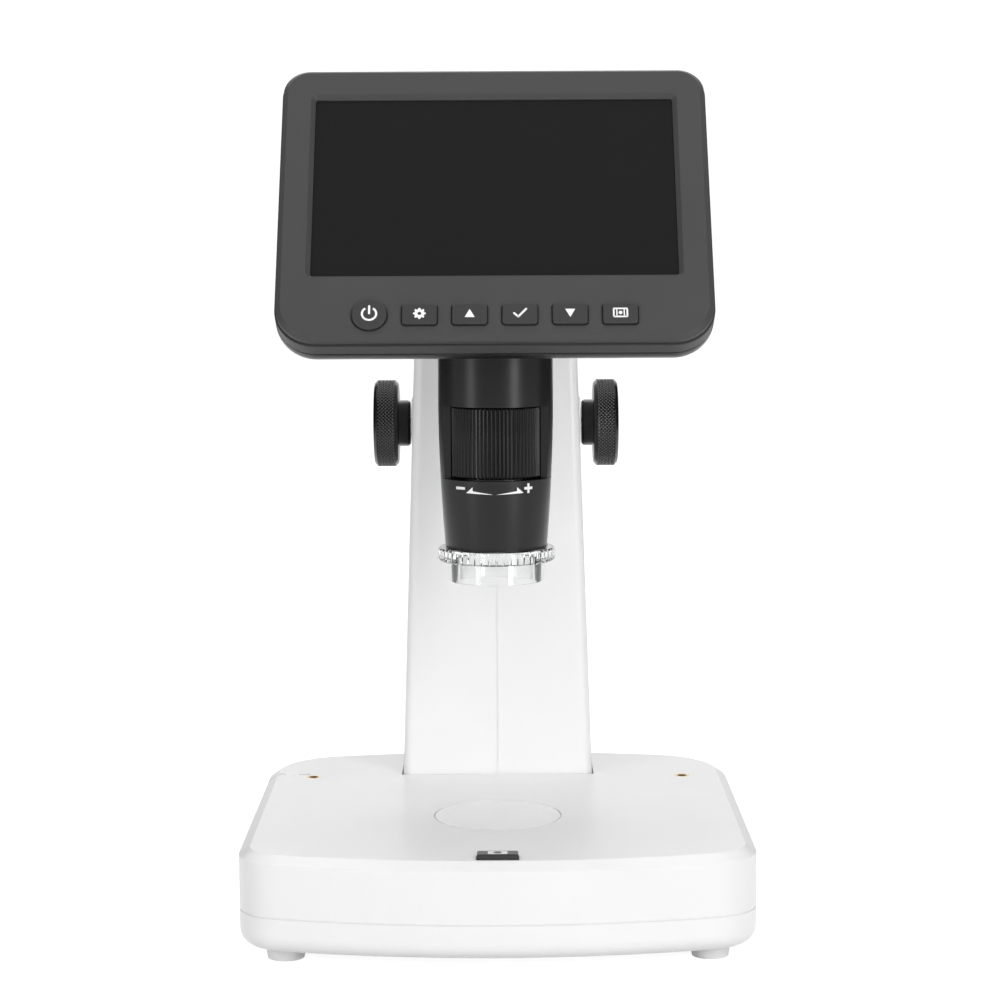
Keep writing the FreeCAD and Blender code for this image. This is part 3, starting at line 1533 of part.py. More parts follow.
def make_head_screws():
    screws = []
    for x, y in HEAD_SCREWS:
        head = dim.head_screw_head_height
        length = glass_front - dim.front_wall - head_screw_seat + head
        piece = screw("head_screw", dim.head_screw_head, head, dim.head_screw_radius, length)
        place(piece, x, y, head_screw_seat - head)
        screws.append(piece)
    bundle = doc.addObject("Part::Compound", "head_screws")
    bundle.Links = screws
    keep("head_screws", place_on_head(bundle))


def make_arm():
    """The bracket from the neck's back, through the column's slot, to the carriage."""
    body = new_body("head_arm")
    half = dim.arm_width / 2
    flange_half = dim.neck_width / 2 - dim.arm_flange_side
    flange_back = dim.neck_back + dim.arm_flange
    extrude(body, "Y", dim.neck_back, tongue_back, rectangle(-half, half, dim.arm_bottom, arm_top))
    extrude(body, "Y", dim.neck_back, flange_back,
            rounded(-flange_half, flange_half, flange_low, flange_high, dim.arm_flange_corner))
    extrude(body, "Y", dim.neck_back, flange_back,
            *[circle(x, z, dim.arm_screw_radius + dim.fit_gap) for x, z in FLANGE_SCREWS], cut=True)
    depth = carriage_front - dim.arm_screw_depth
    extrude(body, "Y", depth, tongue_back,
            *[circle(x, z, dim.arm_screw_radius + dim.fit_gap) for x in ARM_SCREWS_X for z in ARM_SCREWS_Z],
            cut=True)
    keep("head_arm", body)

    screws = []
    head = dim.arm_screw_head_height
    length = head + dim.arm_flange + dim.arm_screw_depth - 1
    for x, z in FLANGE_SCREWS:
        piece = screw("arm_screw", dim.arm_screw_head, head, dim.arm_screw_radius, length)
        screws.append(place(piece, x, flange_back + head, z, Vector(1, 0, 0), 90))
    back = carriage_front + dim.carriage_thick - dim.screw_head_height
    for x in ARM_SCREWS_X:
        for z in ARM_SCREWS_Z:
            length = head + back - carriage_front + dim.arm_screw_depth - 1
            piece = screw("arm_screw", dim.arm_screw_head, head, dim.arm_screw_radius, length)
            screws.append(place(piece, x, back + head, z, Vector(1, 0, 0), 90))
    grouped("arm_screws", *screws)


# Barrel on the optical axis: heights are those of the whole instrument

body_bottom = dim.nose_top + dim.stack_gap
wheel_low = dim.nose_top + dim.wheel_gap
wheel_high = wheel_low + dim.wheel_height
shoulder = wheel_high + dim.wheel_gap
lens_radius = dim.lens_bore - dim.lens_gap

# How much of a rib's pitch its groove takes, where the lenses sit, and how thick their rims are
WHEEL_GROOVE = 0.45
TIP_GROOVE = 0.4
LENS_SHARES = (0.36, 0.64)
LENS_RIM = 0.6


def barrel_edge(level):
    """The barrel's radius at a level: straight above, drawing in below on a long bow."""
    drop = dim.barrel_bow_z - level
    return dim.barrel_radius - dim.barrel_bow + root(dim.barrel_bow * dim.barrel_bow - drop * drop)


def make_barrel():
    body = new_body("barrel_body")
    wheel_bore = dim.wheel_radius + dim.wheel_gap
    ledge = wheel_bore - dim.barrel_ledge
    bridge = shoulder + dim.barrel_bridge
    turn(body, profile(
        (wheel_bore, body_bottom), (barrel_edge(body_bottom), body_bottom),
        (dim.barrel_radius, dim.barrel_bow_z, dim.barrel_bow), (dim.barrel_radius, dim.barrel_top),
        (wheel_bore, dim.barrel_top), (wheel_bore, dim.sensor_z), (ledge, dim.sensor_z),
        (ledge, bridge), (dim.lens_bore, bridge), (dim.lens_bore, shoulder),
        (wheel_bore, shoulder)))
    reach = dim.barrel_radius + 4
    extrude(body, "Z", body_bottom, wheel_high + dim.wheel_gap,
            rectangle(-reach, reach, -reach, -dim.window_plane), cut=True)
    keep("barrel_body", place_on_axis(body))

    nose = new_body("barrel_nose")
    spigot = dim.tip_spigot + dim.fit_gap
    board_top = led_board_top + dim.stack_gap
    turn(nose, profile(
        (spigot, dim.nose_bottom), (barrel_edge(dim.nose_bottom), dim.nose_bottom),
        (barrel_edge(dim.nose_top), dim.nose_top, dim.barrel_bow), (dim.lens_bore, dim.nose_top),
        (dim.lens_bore, board_top), (spigot, board_top)))
    keep("barrel_nose", place_on_axis(nose))


def make_focus():
    body = new_body("focus_wheel")
    bore = dim.lens_bore + dim.fit_gap * 4
    edge = dim.wheel_edge
    turn(body, profile(
        (bore, wheel_low), (dim.wheel_radius - edge, wheel_low), (dim.wheel_radius, wheel_low + edge),
        (dim.wheel_radius, wheel_high - edge), (dim.wheel_radius - edge, wheel_high), (bore, wheel_high)))
    half = dim.wheel_radius * (math.pi / float(dim.wheel_ribs)) * WHEEL_GROOVE
    floor = dim.wheel_radius - dim.rib_depth
    groove = extrude(body, "Z", wheel_low, wheel_high,
                     profile((floor, -half / 2), (dim.wheel_radius + dim.free_gap, -half),
                             (dim.wheel_radius + dim.free_gap, half), (floor, half / 2)), cut=True)
    around(body, groove, dim.wheel_ribs)
    keep("focus_wheel", place_on_axis(body))

    carrier = new_body("lens_carrier")
    top = dim.lens_bottom + dim.lens_length
    seat = lens_radius - dim.lens_wall
    step = dim.lens_wall / 2
    turn(carrier, profile(
        (seat - step, dim.lens_bottom), (lens_radius, dim.lens_bottom), (lens_radius, top), (seat, top),
        (seat, dim.lens_bottom + step), (seat - step, dim.lens_bottom + step)))
    keep("lens_carrier", place_on_axis(carrier))

    glass = []
    first = dim.lens_bottom + step
    second, third = (first + dim.lens_length * share for share in LENS_SHARES)
    for low, thick in ((first, dim.front_lens), (second, dim.middle_lens), (third, dim.back_lens)):
        lens = new_body("lens")
        half = seat - dim.fit_gap
        rim = thick * LENS_RIM
        crown = thick - rim
        turn(lens, profile((0, low), (half, low), (half, low + rim),
                           (0, low + thick, (half * half + crown * crown) / (crown * 2))))
        glass.append(place_on_axis(lens))
    spacers = []
    for low, high in ((first + dim.front_lens * LENS_RIM, second),
                      (second + dim.middle_lens * LENS_RIM, third)):
        ring = new_body("lens_spacer")
        turn(ring, profile((seat - 1, low), (seat - dim.fit_gap, low),
                           (seat - dim.fit_gap, high), (seat - 1, high)))
        spacers.append(place_on_axis(ring))
    grouped("lens_stack", *glass, *spacers)

    sensor = new_body("sensor_board")
    extrude(sensor, "Z", dim.sensor_z, dim.sensor_z + dim.head_board_thick,
            circle(0, 0, dim.wheel_radius + dim.wheel_gap - dim.free_gap))
    half = dim.sensor_width / 2
    extrude(sensor, "Z", dim.sensor_z - dim.sensor_thick, dim.sensor_z, rectangle(-half, half, -half, half))
    keep("sensor_board", place_on_axis(sensor))


# Clear tip cover: a spigot in the nose, a ribbed ring and a shallow skirt

spigot_top = dim.nose_bottom + dim.tip_spigot_rise
led_board_low = spigot_top + dim.stack_gap
led_board_top = led_board_low + dim.head_board_thick
ring_low = dim.nose_bottom - dim.tip_ring_height
skirt_low = ring_low - dim.tip_skirt_height


def make_tip():
    body = new_body("tip_cover")
    edge = dim.tip_edge
    turn(body, profile(
        (dim.tip_bore, skirt_low), (dim.tip_skirt_bottom, skirt_low), (dim.tip_skirt_top, ring_low),
        (dim.tip_ring_radius - edge, ring_low), (dim.tip_ring_radius, ring_low + edge),
        (dim.tip_ring_radius, dim.nose_bottom - edge), (dim.tip_ring_radius - edge, dim.nose_bottom),
        (dim.tip_spigot, dim.nose_bottom), (dim.tip_spigot, spigot_top), (dim.tip_bore, spigot_top)))
    half = dim.tip_ring_radius * (math.pi / float(dim.tip_ribs)) * TIP_GROOVE
    floor = dim.tip_ring_radius - dim.tip_rib_depth
    groove = extrude(body, "Z", ring_low, dim.nose_bottom,
                     profile((floor, -half * TIP_GROOVE), (dim.tip_ring_radius + dim.base_gap, -half),
                             (dim.tip_ring_radius + dim.base_gap, half), (floor, half * TIP_GROOVE)),
                     cut=True)
    around(body, groove, dim.tip_ribs)
    keep("tip_cover", place_on_axis(body))

    board = new_body("led_ring")
    extrude(board, "Z", led_board_low, led_board_top, circle(0, 0, dim.tip_spigot - dim.fit_gap))
    extrude(board, "Z", led_board_low, led_board_top,
            circle(0, 0, dim.tip_bore - dim.led_ring_inset), cut=True)
    lamp = extrude(board, "Z", led_board_low - dim.led_thick, led_board_low,
                   rectangle(dim.tip_bore - dim.led_near, dim.tip_bore - dim.led_far,
                             -dim.led_width / 2, dim.led_width / 2))
    around(board, lamp, dim.led_ring_count)
    keep("led_ring", place_on_axis(board))


make_front_frame()
make_keys()
make_screen_stack()
make_sockets()
make_rear_cover()
make_head_screws()
make_arm()
make_barrel()
make_focus()
make_tip()

# Checks, then one file for each sub-part

doc.recompute()
for thing in doc.Objects:
    if any(word in ("Invalid", "Error") for word in thing.State):
        raise RuntimeError(f"{thing.Label}: {thing.State}")
os.makedirs("parts", exist_ok=True)
for label, thing in nodes.items():
    if thing.Shape.isNull() or not thing.Shape.isValid():
        raise RuntimeError(f"{label}: no valid shape")
for label, thing in nodes.items():
    thing.Shape.exportStep(f"parts/{label}.step")
    box = thing.Shape.BoundBox
    print(f"{label:22s} {len(thing.Shape.Solids):2d} solids {thing.Shape.Volume:10.1f} mm3 "
          f"X {box.XMin:.2f} {box.XMax:.2f} Y {box.YMin:.2f} {box.YMax:.2f} Z {box.ZMin:.2f} {box.ZMax:.2f}")
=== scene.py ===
"""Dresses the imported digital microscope: finishes for its solids, and the fine pieces that
they leave out, such as key signs, knurling, ribs and printed marks. Units are metres."""

import functools
import json
import math

import bmesh
import bpy
from bpy.props import FloatProperty, FloatVectorProperty, PointerProperty
from mathutils import Matrix, Vector


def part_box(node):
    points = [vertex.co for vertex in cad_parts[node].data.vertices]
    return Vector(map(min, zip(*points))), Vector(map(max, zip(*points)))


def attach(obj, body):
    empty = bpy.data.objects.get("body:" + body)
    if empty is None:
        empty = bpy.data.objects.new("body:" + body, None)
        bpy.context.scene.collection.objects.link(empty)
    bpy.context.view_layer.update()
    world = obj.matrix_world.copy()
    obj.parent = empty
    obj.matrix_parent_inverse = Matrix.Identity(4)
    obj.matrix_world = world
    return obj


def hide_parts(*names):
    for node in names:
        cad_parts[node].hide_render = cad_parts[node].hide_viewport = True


bl_info = {
    "name": "Digital Microscope Dressing",
    "version": (1, 0, 0),
    "blender": (4, 5, 0),
    "location": "View3D > Sidebar > Microscope",
    "description": "Finishes and fine pieces for a desk digital microscope",
    "category": "Object",
}

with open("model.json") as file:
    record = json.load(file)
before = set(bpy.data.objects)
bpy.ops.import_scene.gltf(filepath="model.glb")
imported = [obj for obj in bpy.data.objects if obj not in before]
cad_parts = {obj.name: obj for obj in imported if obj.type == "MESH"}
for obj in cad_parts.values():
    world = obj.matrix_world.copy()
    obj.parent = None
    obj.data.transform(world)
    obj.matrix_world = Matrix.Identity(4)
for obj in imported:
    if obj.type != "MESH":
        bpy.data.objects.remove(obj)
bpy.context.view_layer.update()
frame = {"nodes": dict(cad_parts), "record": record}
MM = 0.001
BARREL_Y = sum(corner[1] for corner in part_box("barrel_nose")) / 2

# Each soft box: name, place, the point it faces, width, height and watts
SOFT_BOXES = (
    ("Left box", (-0.77, -0.66, 0.40), (0, 0, 0.15), 0.24, 0.9, 3.5),
    ("Right box", (0.62, -0.80, 0.40), (0, 0, 0.15), 0.24, 0.9, 5.6),
    ("Front box", (0.0, -1.6, 0.9), (0, 0, 0.1), 1.6, 1.0, 5.5),
    ("Top box", (0.0, 0.05, 1.2), (0, 0, 0.1), 1.0, 0.7, 4.4),
    ("Back box", (0.0, 1.5, 0.9), (0, 0, 0.1), 1.6, 1.0, 3.0),
)


# Settings

def shade(name, description, value):
    return FloatVectorProperty(name=name, description=description, default=value, size=3,
                               min=0.0, max=1.0, subtype="COLOR")


def length(name, description, value):
    return FloatProperty(name=name, description=description, default=value, min=0.0, unit="LENGTH")


def turn(name, description, value):
    return FloatProperty(name=name, description=description, default=value, subtype="ANGLE")


class MicroscopeColours(bpy.types.PropertyGroup):
    """Colours of the visible surfaces, in linear light."""

    shell: shade("Shell", "White moulded base and column", (0.86, 0.86, 0.86))
    feet: shade("Feet", "White rubber feet", (0.86, 0.86, 0.86))
    head: shade("Head", "Charcoal front plate of the screen", (0.059, 0.059, 0.060))
    screen: shade("Screen", "Dark display glass", (0.010, 0.010, 0.0105))
    keys: shade("Keys", "Charcoal keys below the screen", (0.042, 0.042, 0.043))
    barrel: shade("Barrel", "Barrel, nose and neck", (0.007, 0.007, 0.0072))
    wheel: shade("Focus wheel", "Ribbed focus wheel", (0.0025, 0.0025, 0.0026))
    knob: shade("Knob", "Knurled knobs and their hubs", (0.0035, 0.0035, 0.0037))
    # Knurl crest: a painted highlight, the pale colour painted on the knurl's crests in place of glints of
    # light
    crest: shade("Knurl crest", "Rubbed crests of the knurl", (0.13, 0.13, 0.13))
    button: shade("Button", "Snapshot button on the base", (0.012, 0.012, 0.013))
    signs: shade("Signs", "Printed signs and arrows", (0.88, 0.88, 0.88))
    stage_plate: shade("Stage", "Frosted stage disc", (0.80, 0.80, 0.80))
    tip: shade("Tip", "Clear plastic tip cover", (0.95, 0.955, 0.955))
    backdrop: shade("Backdrop", "Paper of the studio floor and wall", (0.62, 0.62, 0.62))


class MicroscopeSizes(bpy.types.PropertyGroup):
    """Sizes of the fine pieces, and the camera."""

    sign_height: length("Sign height", "How far a printed sign stands off its surface", 0.02 * MM)
    sign_stroke: length("Sign stroke", "Stroke width of the line signs", 0.55 * MM)
    knurl_pitch: length("Knurl pitch", "Width of one diamond of the knob's knurl", 1.1 * MM)
    knurl_depth: length("Knurl depth", "Depth of the diamond knurl", 0.3 * MM)
    rib_depth: length("Rib depth", "Depth of the focus wheel's ribs", 0.5 * MM)
    grain_pitch: length("Grain pitch", "Size of the moulded grain", 0.16 * MM)
    camera_place: FloatVectorProperty(name="Camera place", description="Where the camera stands",
                                      default=(0.0011, -0.6948, 0.1952), subtype="TRANSLATION")
    camera_lens: FloatProperty(name="Lens", description="Focal length of the camera in millimetres",
                               default=87.75, min=10.0)
    camera_pitch: turn("Pitch", "How far the camera looks down", math.radians(6.29))
    camera_roll: turn("Roll", "How far the camera tips to one side", math.radians(-0.29))


def colours():
    return bpy.context.scene.microscope_colours


def sizes():
    return bpy.context.scene.microscope_sizes


# Shader nodes

def connect(tree, node, links):
    """Feed a node's inputs from (input, source) pairs, where a source is a socket or a plain value."""
    for title, source in links:
        if hasattr(source, "is_output"):
            tree.links.new(source, node.inputs[title])
        else:
            node.inputs[title].default_value = source
    return node


def add(tree, kind, links=(), **settings):
    """A new node with its settings and its inputs."""
    node = tree.nodes.new(kind)
    for key, value in settings.items():
        setattr(node, key, value)
    return connect(tree, node, links)


def reckon(tree, operation, first, second, clamp=False):
    """The result of adding, subtracting or multiplying two values."""
    node = add(tree, "ShaderNodeMath", ((0, first), (1, second)), operation=operation, use_clamp=clamp)
    return node.outputs["Value"]


def remap(tree, value, start, stop, low=0.0, high=1.0):
    """A value that runs from start to stop, made to run from low to high."""
    node = add(tree, "ShaderNodeMapRange", (("Value", value), ("From Min", start), ("From Max", stop),
                                            ("To Min", low), ("To Max", high)))
    return node.outputs["Result"]


def noise(tree, place, scale, detail, distortion=0.0):
    node = add(tree, "ShaderNodeTexNoise", (("Vector", place), ("Scale", scale), ("Detail", detail),
                                            ("Distortion", distortion)))
    return node.outputs["Fac"]


def blend(tree, share, first, second):
    """The first colour with a share of the second."""
    return add(tree, "ShaderNodeMix", ((0, share), (6, first), (7, second)), data_type="RGBA").outputs[2]


def bump(tree, height, strength, distance):
    node = add(tree, "ShaderNodeBump", (("Height", height), ("Strength", strength), ("Distance", distance)))
    return node.outputs["Normal"]


# Shader groups that several finishes share, each with one output

def new_group(name, inputs, output, kind):
    """An empty group, the sockets that it is given, and its output node."""
    group = bpy.data.node_groups.new(name, "ShaderNodeTree")
    for title, socket_type, value in inputs:
        socket = group.interface.new_socket(name=title, in_out="INPUT", socket_type=socket_type)
        if value is not None:
            socket.default_value = value
    group.interface.new_socket(name=output, in_out="OUTPUT", socket_type=kind)
    return group, group.nodes.new("NodeGroupInput").outputs, group.nodes.new("NodeGroupOutput")


def grain_group(name):
    """Moulded or blasted grain: a fine cell pattern over a soft one, as a height."""
    group, given, out = new_group(
        name, (("Vector", "NodeSocketVector", None), ("Scale", "NodeSocketFloat", 4000.0),
               ("Softness", "NodeSocketFloat", 0.5)), "Height", "NodeSocketFloat")
    cells = add(group, "ShaderNodeTexVoronoi", (("Vector", given["Vector"]), ("Scale", given["Scale"])),
                feature="SMOOTH_F1")
    soft = noise(group, given["Vector"], given["Scale"], 2.0)
    mixed = add(group, "ShaderNodeMix", ((0, given["Softness"]), (2, cells.outputs["Distance"]), (3, soft)))
    connect(group, out, (("Height", mixed.outputs[0]),))
    return group


def tone_group(name):
    """A little drift of tone over a surface, with dust that settles on what faces up."""
    group, given, out = new_group(
        name, (("Vector", "NodeSocketVector", None), ("Color", "NodeSocketColor", None),
               ("Drift", "NodeSocketFloat", 0.04), ("Dust", "NodeSocketFloat", 0.0),
               ("Dust Color", "NodeSocketColor", (0.6, 0.59, 0.57, 1.0))), "Color", "NodeSocketColor")
    clouds = remap(group, noise(group, given["Vector"], 38.0, 4.0), 0.3, 0.7, -1.0, 1.0)
    value = reckon(group, "ADD", reckon(group, "MULTIPLY", clouds, given["Drift"]), 1.0)
    toned = add(group, "ShaderNodeHueSaturation", (("Color", given["Color"]), ("Value", value)))
    normal = add(group, "ShaderNodeNewGeometry").outputs["Normal"]
    upward = add(group, "ShaderNodeSeparateXYZ", ((0, normal),)).outputs["Z"]
    specks = remap(group, noise(group, given["Vector"], 900.0, 5.0), 0.55, 0.75)
    settled = reckon(group, "MULTIPLY", specks, remap(group, upward, 0.5, 1.0))
    dust = reckon(group, "MULTIPLY", settled, given["Dust"])
    connect(group, out, (("Color", blend(group, dust, toned.outputs["Color"], given["Dust Color"])),))
    return group


def smudge_group(name):
    """Roughness that drifts, as where hands and cloths have been."""
    group, given, out = new_group(
        name, (("Vector", "NodeSocketVector", None), ("Roughness", "NodeSocketFloat", 0.4),
               ("Amount", "NodeSocketFloat", 0.06), ("Scale", "NodeSocketFloat", 60.0)),
        "Roughness", "NodeSocketFloat")
    clouds = noise(group, given["Vector"], given["Scale"], 6.0, distortion=0.8)
    centred = remap(group, clouds, 0.0, 1.0, -1.0, 1.0)
    swing = reckon(group, "MULTIPLY", centred, given["Amount"])
    connect(group, out, (("Roughness", reckon(group, "ADD", swing, given["Roughness"], clamp=True)),))
    return group


def brushed_group(name):
    """Fine lines along one direction, as turning or brushing leaves on metal."""
    group, given, out = new_group(
        name, (("Vector", "NodeSocketVector", None), ("Stretch", "NodeSocketVector", (60.0, 60.0, 4000.0))),
        "Height", "NodeSocketFloat")
    stretched = add(group, "ShaderNodeVectorMath", ((0, given["Vector"]), (1, given["Stretch"])),
                    operation="MULTIPLY")
    connect(group, out, (("Height", noise(group, stretched.outputs["Vector"], 1.0, 4.0)),))
    return group


GROUP_MAKERS = {"Moulded grain": grain_group, "Surface tone": tone_group, "Smudges": smudge_group,
                "Brushed lines": brushed_group}


def placed(tree, name, links):
    """The output of a shared group's node in a material."""
    group = bpy.data.node_groups.get(name) or GROUP_MAKERS[name](name)
    return add(tree, "ShaderNodeGroup", links, node_tree=group).outputs[0]


# Finishes

def made_once(maker):
    """Make a finish when its name is first asked for, and hand the same one out after that."""
    @functools.wraps(maker)
    def finish(name, *values, **named_values):
        return bpy.data.materials.get(name) or maker(name, *values, **named_values)
    return finish


def opaque(colour):
    return (*colour, 1.0)


def blank_material(name):
    material = bpy.data.materials.new(name)
    material.use_nodes = True
    tree = material.node_tree
    shader = tree.nodes["Principled BSDF"]
    place = add(tree, "ShaderNodeTexCoord").outputs["Object"]
    return material, tree, shader, place


@made_once
def moulded(name, colour, roughness, grain=0.12, drift=0.03, dust=0.0, coat=0.0, smudge=0.05, pitch=None,
            sheen=0.5):
    """Moulded plastic or rubber: drifting tone, smudged gloss and a fine grain."""
    material, tree, shader, place = blank_material(name)
    tone = placed(tree, "Surface tone", (("Vector", place), ("Color", opaque(colour)), ("Drift", drift),
                                         ("Dust", dust)))
    gloss = placed(tree, "Smudges", (("Vector", place), ("Roughness", roughness), ("Amount", smudge)))
    height = placed(tree, "Moulded grain", (("Vector", place), ("Scale", 1 / (pitch or sizes().grain_pitch))))
    connect(tree, shader, (("Base Color", tone), ("Roughness", gloss),
                           ("Normal", bump(tree, height, grain, 0.05 * MM)),
                           ("Specular IOR Level", sheen), ("Coat Weight", coat), ("Coat Roughness", 0.15)))
    return material


@made_once
def metal(name, colour, roughness, stretch=(60.0, 60.0, 4000.0)):
    """Turned, ground or brushed metal with fine lines and drifting gloss."""
    material, tree, shader, place = blank_material(name)
    tone = placed(tree, "Surface tone", (("Vector", place), ("Color", opaque(colour)), ("Drift", 0.08)))
    gloss = placed(tree, "Smudges", (("Vector", place), ("Roughness", roughness), ("Amount", 0.12),
                                     ("Scale", 150.0)))
    lines = placed(tree, "Brushed lines", (("Vector", place), ("Stretch", stretch)))
    connect(tree, shader, (("Base Color", tone), ("Roughness", gloss), ("Metallic", 1.0),
                           ("Normal", bump(tree, lines, 0.12, 0.02 * MM))))
    return material


@made_once
def clear_plastic(name, colour, roughness, index, edge=1.0):
    """Clear moulded plastic or optical glass, with faint ripples. Steep walls are darkened to edge: painted
    shade that stands in for the dark rims where the walls turn away from view.
    """
    material, tree, shader, place = blank_material(name)
    tone = placed(tree, "Surface tone", (("Vector", place), ("Color", opaque(colour)), ("Drift", 0.02)))
    gloss = placed(tree, "Smudges", (("Vector", place), ("Roughness", roughness), ("Amount", 0.04)))
    ripple = placed(tree, "Moulded grain", (("Vector", place), ("Scale", 420.0), ("Softness", 1.0)))
    # Painted shade: the colour darkens towards edge as the wall turns away from the camera
    facing = add(tree, "ShaderNodeLayerWeight", (("Blend", 0.5),)).outputs["Facing"]
    painted_rim_shade = remap(tree, facing, 0.45, 0.95, 1.0, edge)
    shaded = add(tree, "ShaderNodeHueSaturation", (("Color", tone), ("Value", painted_rim_shade)))
    connect(tree, shader, (("Base Color", shaded.outputs["Color"]), ("Roughness", gloss),
                           ("Normal", bump(tree, ripple, 0.06, 0.1 * MM)),
                           ("Transmission Weight", 1.0), ("IOR", index)))
    return material


@made_once
def circuit(name, colour):
    """Solder mask with darker blocks, and paler traces between them."""
    material, tree, shader, place = blank_material(name)
    darker = [part * 0.8 for part in colour]
    paler = [min(1.0, part * 1.8) for part in colour]
    blocks = add(tree, "ShaderNodeTexBrick", (("Vector", place), ("Scale", 160.0), ("Mortar Size", 0.03),
                                              ("Color1", opaque(colour)), ("Color2", opaque(darker)),
                                              ("Mortar", opaque(paler))))
    tone = placed(tree, "Surface tone", (("Vector", place), ("Color", blocks.outputs["Color"]),
                                         ("Drift", 0.1)))
    gloss = placed(tree, "Smudges", (("Vector", place), ("Roughness", 0.38)))
    connect(tree, shader, (("Base Color", tone), ("Roughness", gloss),
                           ("Normal", bump(tree, blocks.outputs["Fac"], 0.2, 0.03 * MM))))
    return material


def shell_plastic():
    return moulded("White shell", colours().shell, roughness=0.34, grain=0.06, drift=0.012, dust=0.05)


def barrel_plastic():
    return moulded("Barrel plastic", colours().barrel, roughness=0.3, grain=0.06, sheen=0.3)


def button_plastic():
    return moulded("Button gloss", colours().button, roughness=0.3, grain=0.03)


def knob_plastic():
    """Black plastic whose knurl crests are painted paler by the mesh's crest value: a painted highlight that
    stands in for the glints of light on the crests.
    """
    material = moulded("Knob plastic", colours().knob, roughness=0.26, grain=0.04, sheen=0.4)
    tree = material.node_tree
    shader = tree.nodes["Principled BSDF"]
    black = shader.inputs["Base Color"].links[0].from_socket
    crest = add(tree, "ShaderNodeAttribute", attribute_name="crest").outputs["Fac"]
    # Painted highlight: the knurl's crests are blended towards the pale crest colour
    painted_glints = blend(tree, remap(tree, crest, 0.6, 0.97), black, opaque(colours().crest))
    connect(tree, shader, (("Base Color", painted_glints),))
    return material


def sign_ink():
    return moulded("Sign ink", colours().signs, roughness=0.5, grain=0.03, drift=0.02)


def steel():
    return metal("Bright steel", (0.56, 0.56, 0.57), roughness=0.28)


def dress(material, *names):
    """Give CAD nodes a finish."""
    for name in names:
        node = frame["nodes"][name]
        node.data.materials.clear()
        node.data.materials.append(material)


# Meshes and objects

def new_object(name, data):
    made = bpy.data.objects.new(name, data)
    bpy.context.scene.collection.objects.link(made)
    return made


def new_piece(name, mesh_data, material, body, smooth=True):
    """A piece of the instrument that moves with a body."""
    piece = new_object(name, mesh_data)
    mesh_data.materials.append(material)
    if smooth:
        mesh_data.shade_smooth()
    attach(piece, body)
    return piece


def grid_mesh(name, rows, closed_rows=True, closed_columns=False):
    """A surface through rows of points."""
    data = bpy.data.meshes.new(name)
    width = len(rows[0])
    points = [point for row in rows for point in row]
    faces = []
    row_count = len(rows) if closed_columns else len(rows) - 1
    column_count = width if closed_rows else width - 1
    for row in range(row_count):
        below = ((row + 1) % len(rows)) * width
        for column in range(column_count):
            following = (column + 1) % width
            faces.append((row * width + column, row * width + following, below + following, below + column))
    data.from_pydata(points, [], faces)
    data.validate()
    return data


# Studio

def camera_view(context):
    """The camera, level with the head and looking a little down on the base."""
    camera = bpy.data.cameras.new("Studio camera")
    camera.lens = sizes().camera_lens
    camera.sensor_width = 36.0
    piece = new_object("Studio camera", camera)
    piece.location = sizes().camera_place
    looking = Matrix.Rotation(math.pi / 2 - sizes().camera_pitch, 4, "X")
    piece.rotation_euler = (looking @ Matrix.Rotation(sizes().camera_roll, 4, "Z")).to_euler()
    context.scene.camera = piece


def soft_box(name, place, target, width, height, watts):
    light = bpy.data.lights.new(name, "AREA")
    light.shape = "RECTANGLE"
    light.size = width
    light.size_y = height
    light.energy = watts
    piece = new_object(name, light)
    piece.location = place
    aim = Vector(target) - Vector(place)
    piece.rotation_euler = aim.to_track_quat("-Z", "Y").to_euler()


def background_rays(tree):
    """1 for the rays that show the white background: to the camera, in gloss and through glass."""
    rays = add(tree, "ShaderNodeLightPath").outputs
    gloss = reckon(tree, "ADD", rays["Is Glossy Ray"], rays["Is Transmission Ray"], clamp=True)
    return reckon(tree, "ADD", rays["Is Camera Ray"], gloss, clamp=True)


def stage_floor():
    """A pale sweep: a floor that curves up into a wall well behind the instrument."""
    half_width = 4.0
    wall_place = 2.6
    wall_height = 4.0
    bend = 0.8
    bend_steps = 12
    glow_strength = 0.84
    profile = [(-half_width, 0.0), (wall_place - bend, 0.0)]
    for step in range(1, bend_steps + 1):
        angle = math.pi / 2 * step / bend_steps
        profile.append((wall_place - bend + bend * math.sin(angle), bend - bend * math.cos(angle)))
    profile.append((wall_place, wall_height))
    rows = [[(-half_width, y, z), (half_width, y, z)] for y, z in profile]
    floor = new_object("Floor", grid_mesh("Floor", rows, closed_rows=False))
    floor.data.shade_smooth()
    material, tree, shader, place = blank_material("Floor paper")
    tone = placed(tree, "Surface tone", (("Vector", place), ("Color", opaque(colours().backdrop)),
                                         ("Drift", 0.01)))
    connect(tree, shader, (("Base Color", tone), ("Roughness", 0.9), ("Specular IOR Level", 0.0)))
    glow = reckon(tree, "MULTIPLY", background_rays(tree), glow_strength)
    light = add(tree, "ShaderNodeEmission", (("Color", (1, 1, 1, 1)), ("Strength", glow)))
    total = add(tree, "ShaderNodeAddShader", ((0, shader.outputs[0]), (1, light.outputs[0])))
    connect(tree, tree.nodes["Material Output"], (("Surface", total.outputs[0]),))
    floor.data.materials.append(material)


def dark_card(side):
    """A dark card behind and beside the instrument, out of the picture, seen in gloss and clear plastic
    only: it gives round black walls and clear edges their dark rims."""
    back_edge = (side * 0.42, 1.0)
    front_edge = (side * 1.0, 0.1)
    height = 0.6
    rows = [[(*back_edge, z), (*front_edge, z)] for z in (0.0, height)]
    card = new_object("Dark card", grid_mesh("Dark card", rows, closed_rows=False))
    card.visible_camera = False
    card.visible_diffuse = False
    card.visible_shadow = False
    card.data.materials.append(moulded("Card", (0.02, 0.02, 0.02), roughness=0.9, grain=0.02))


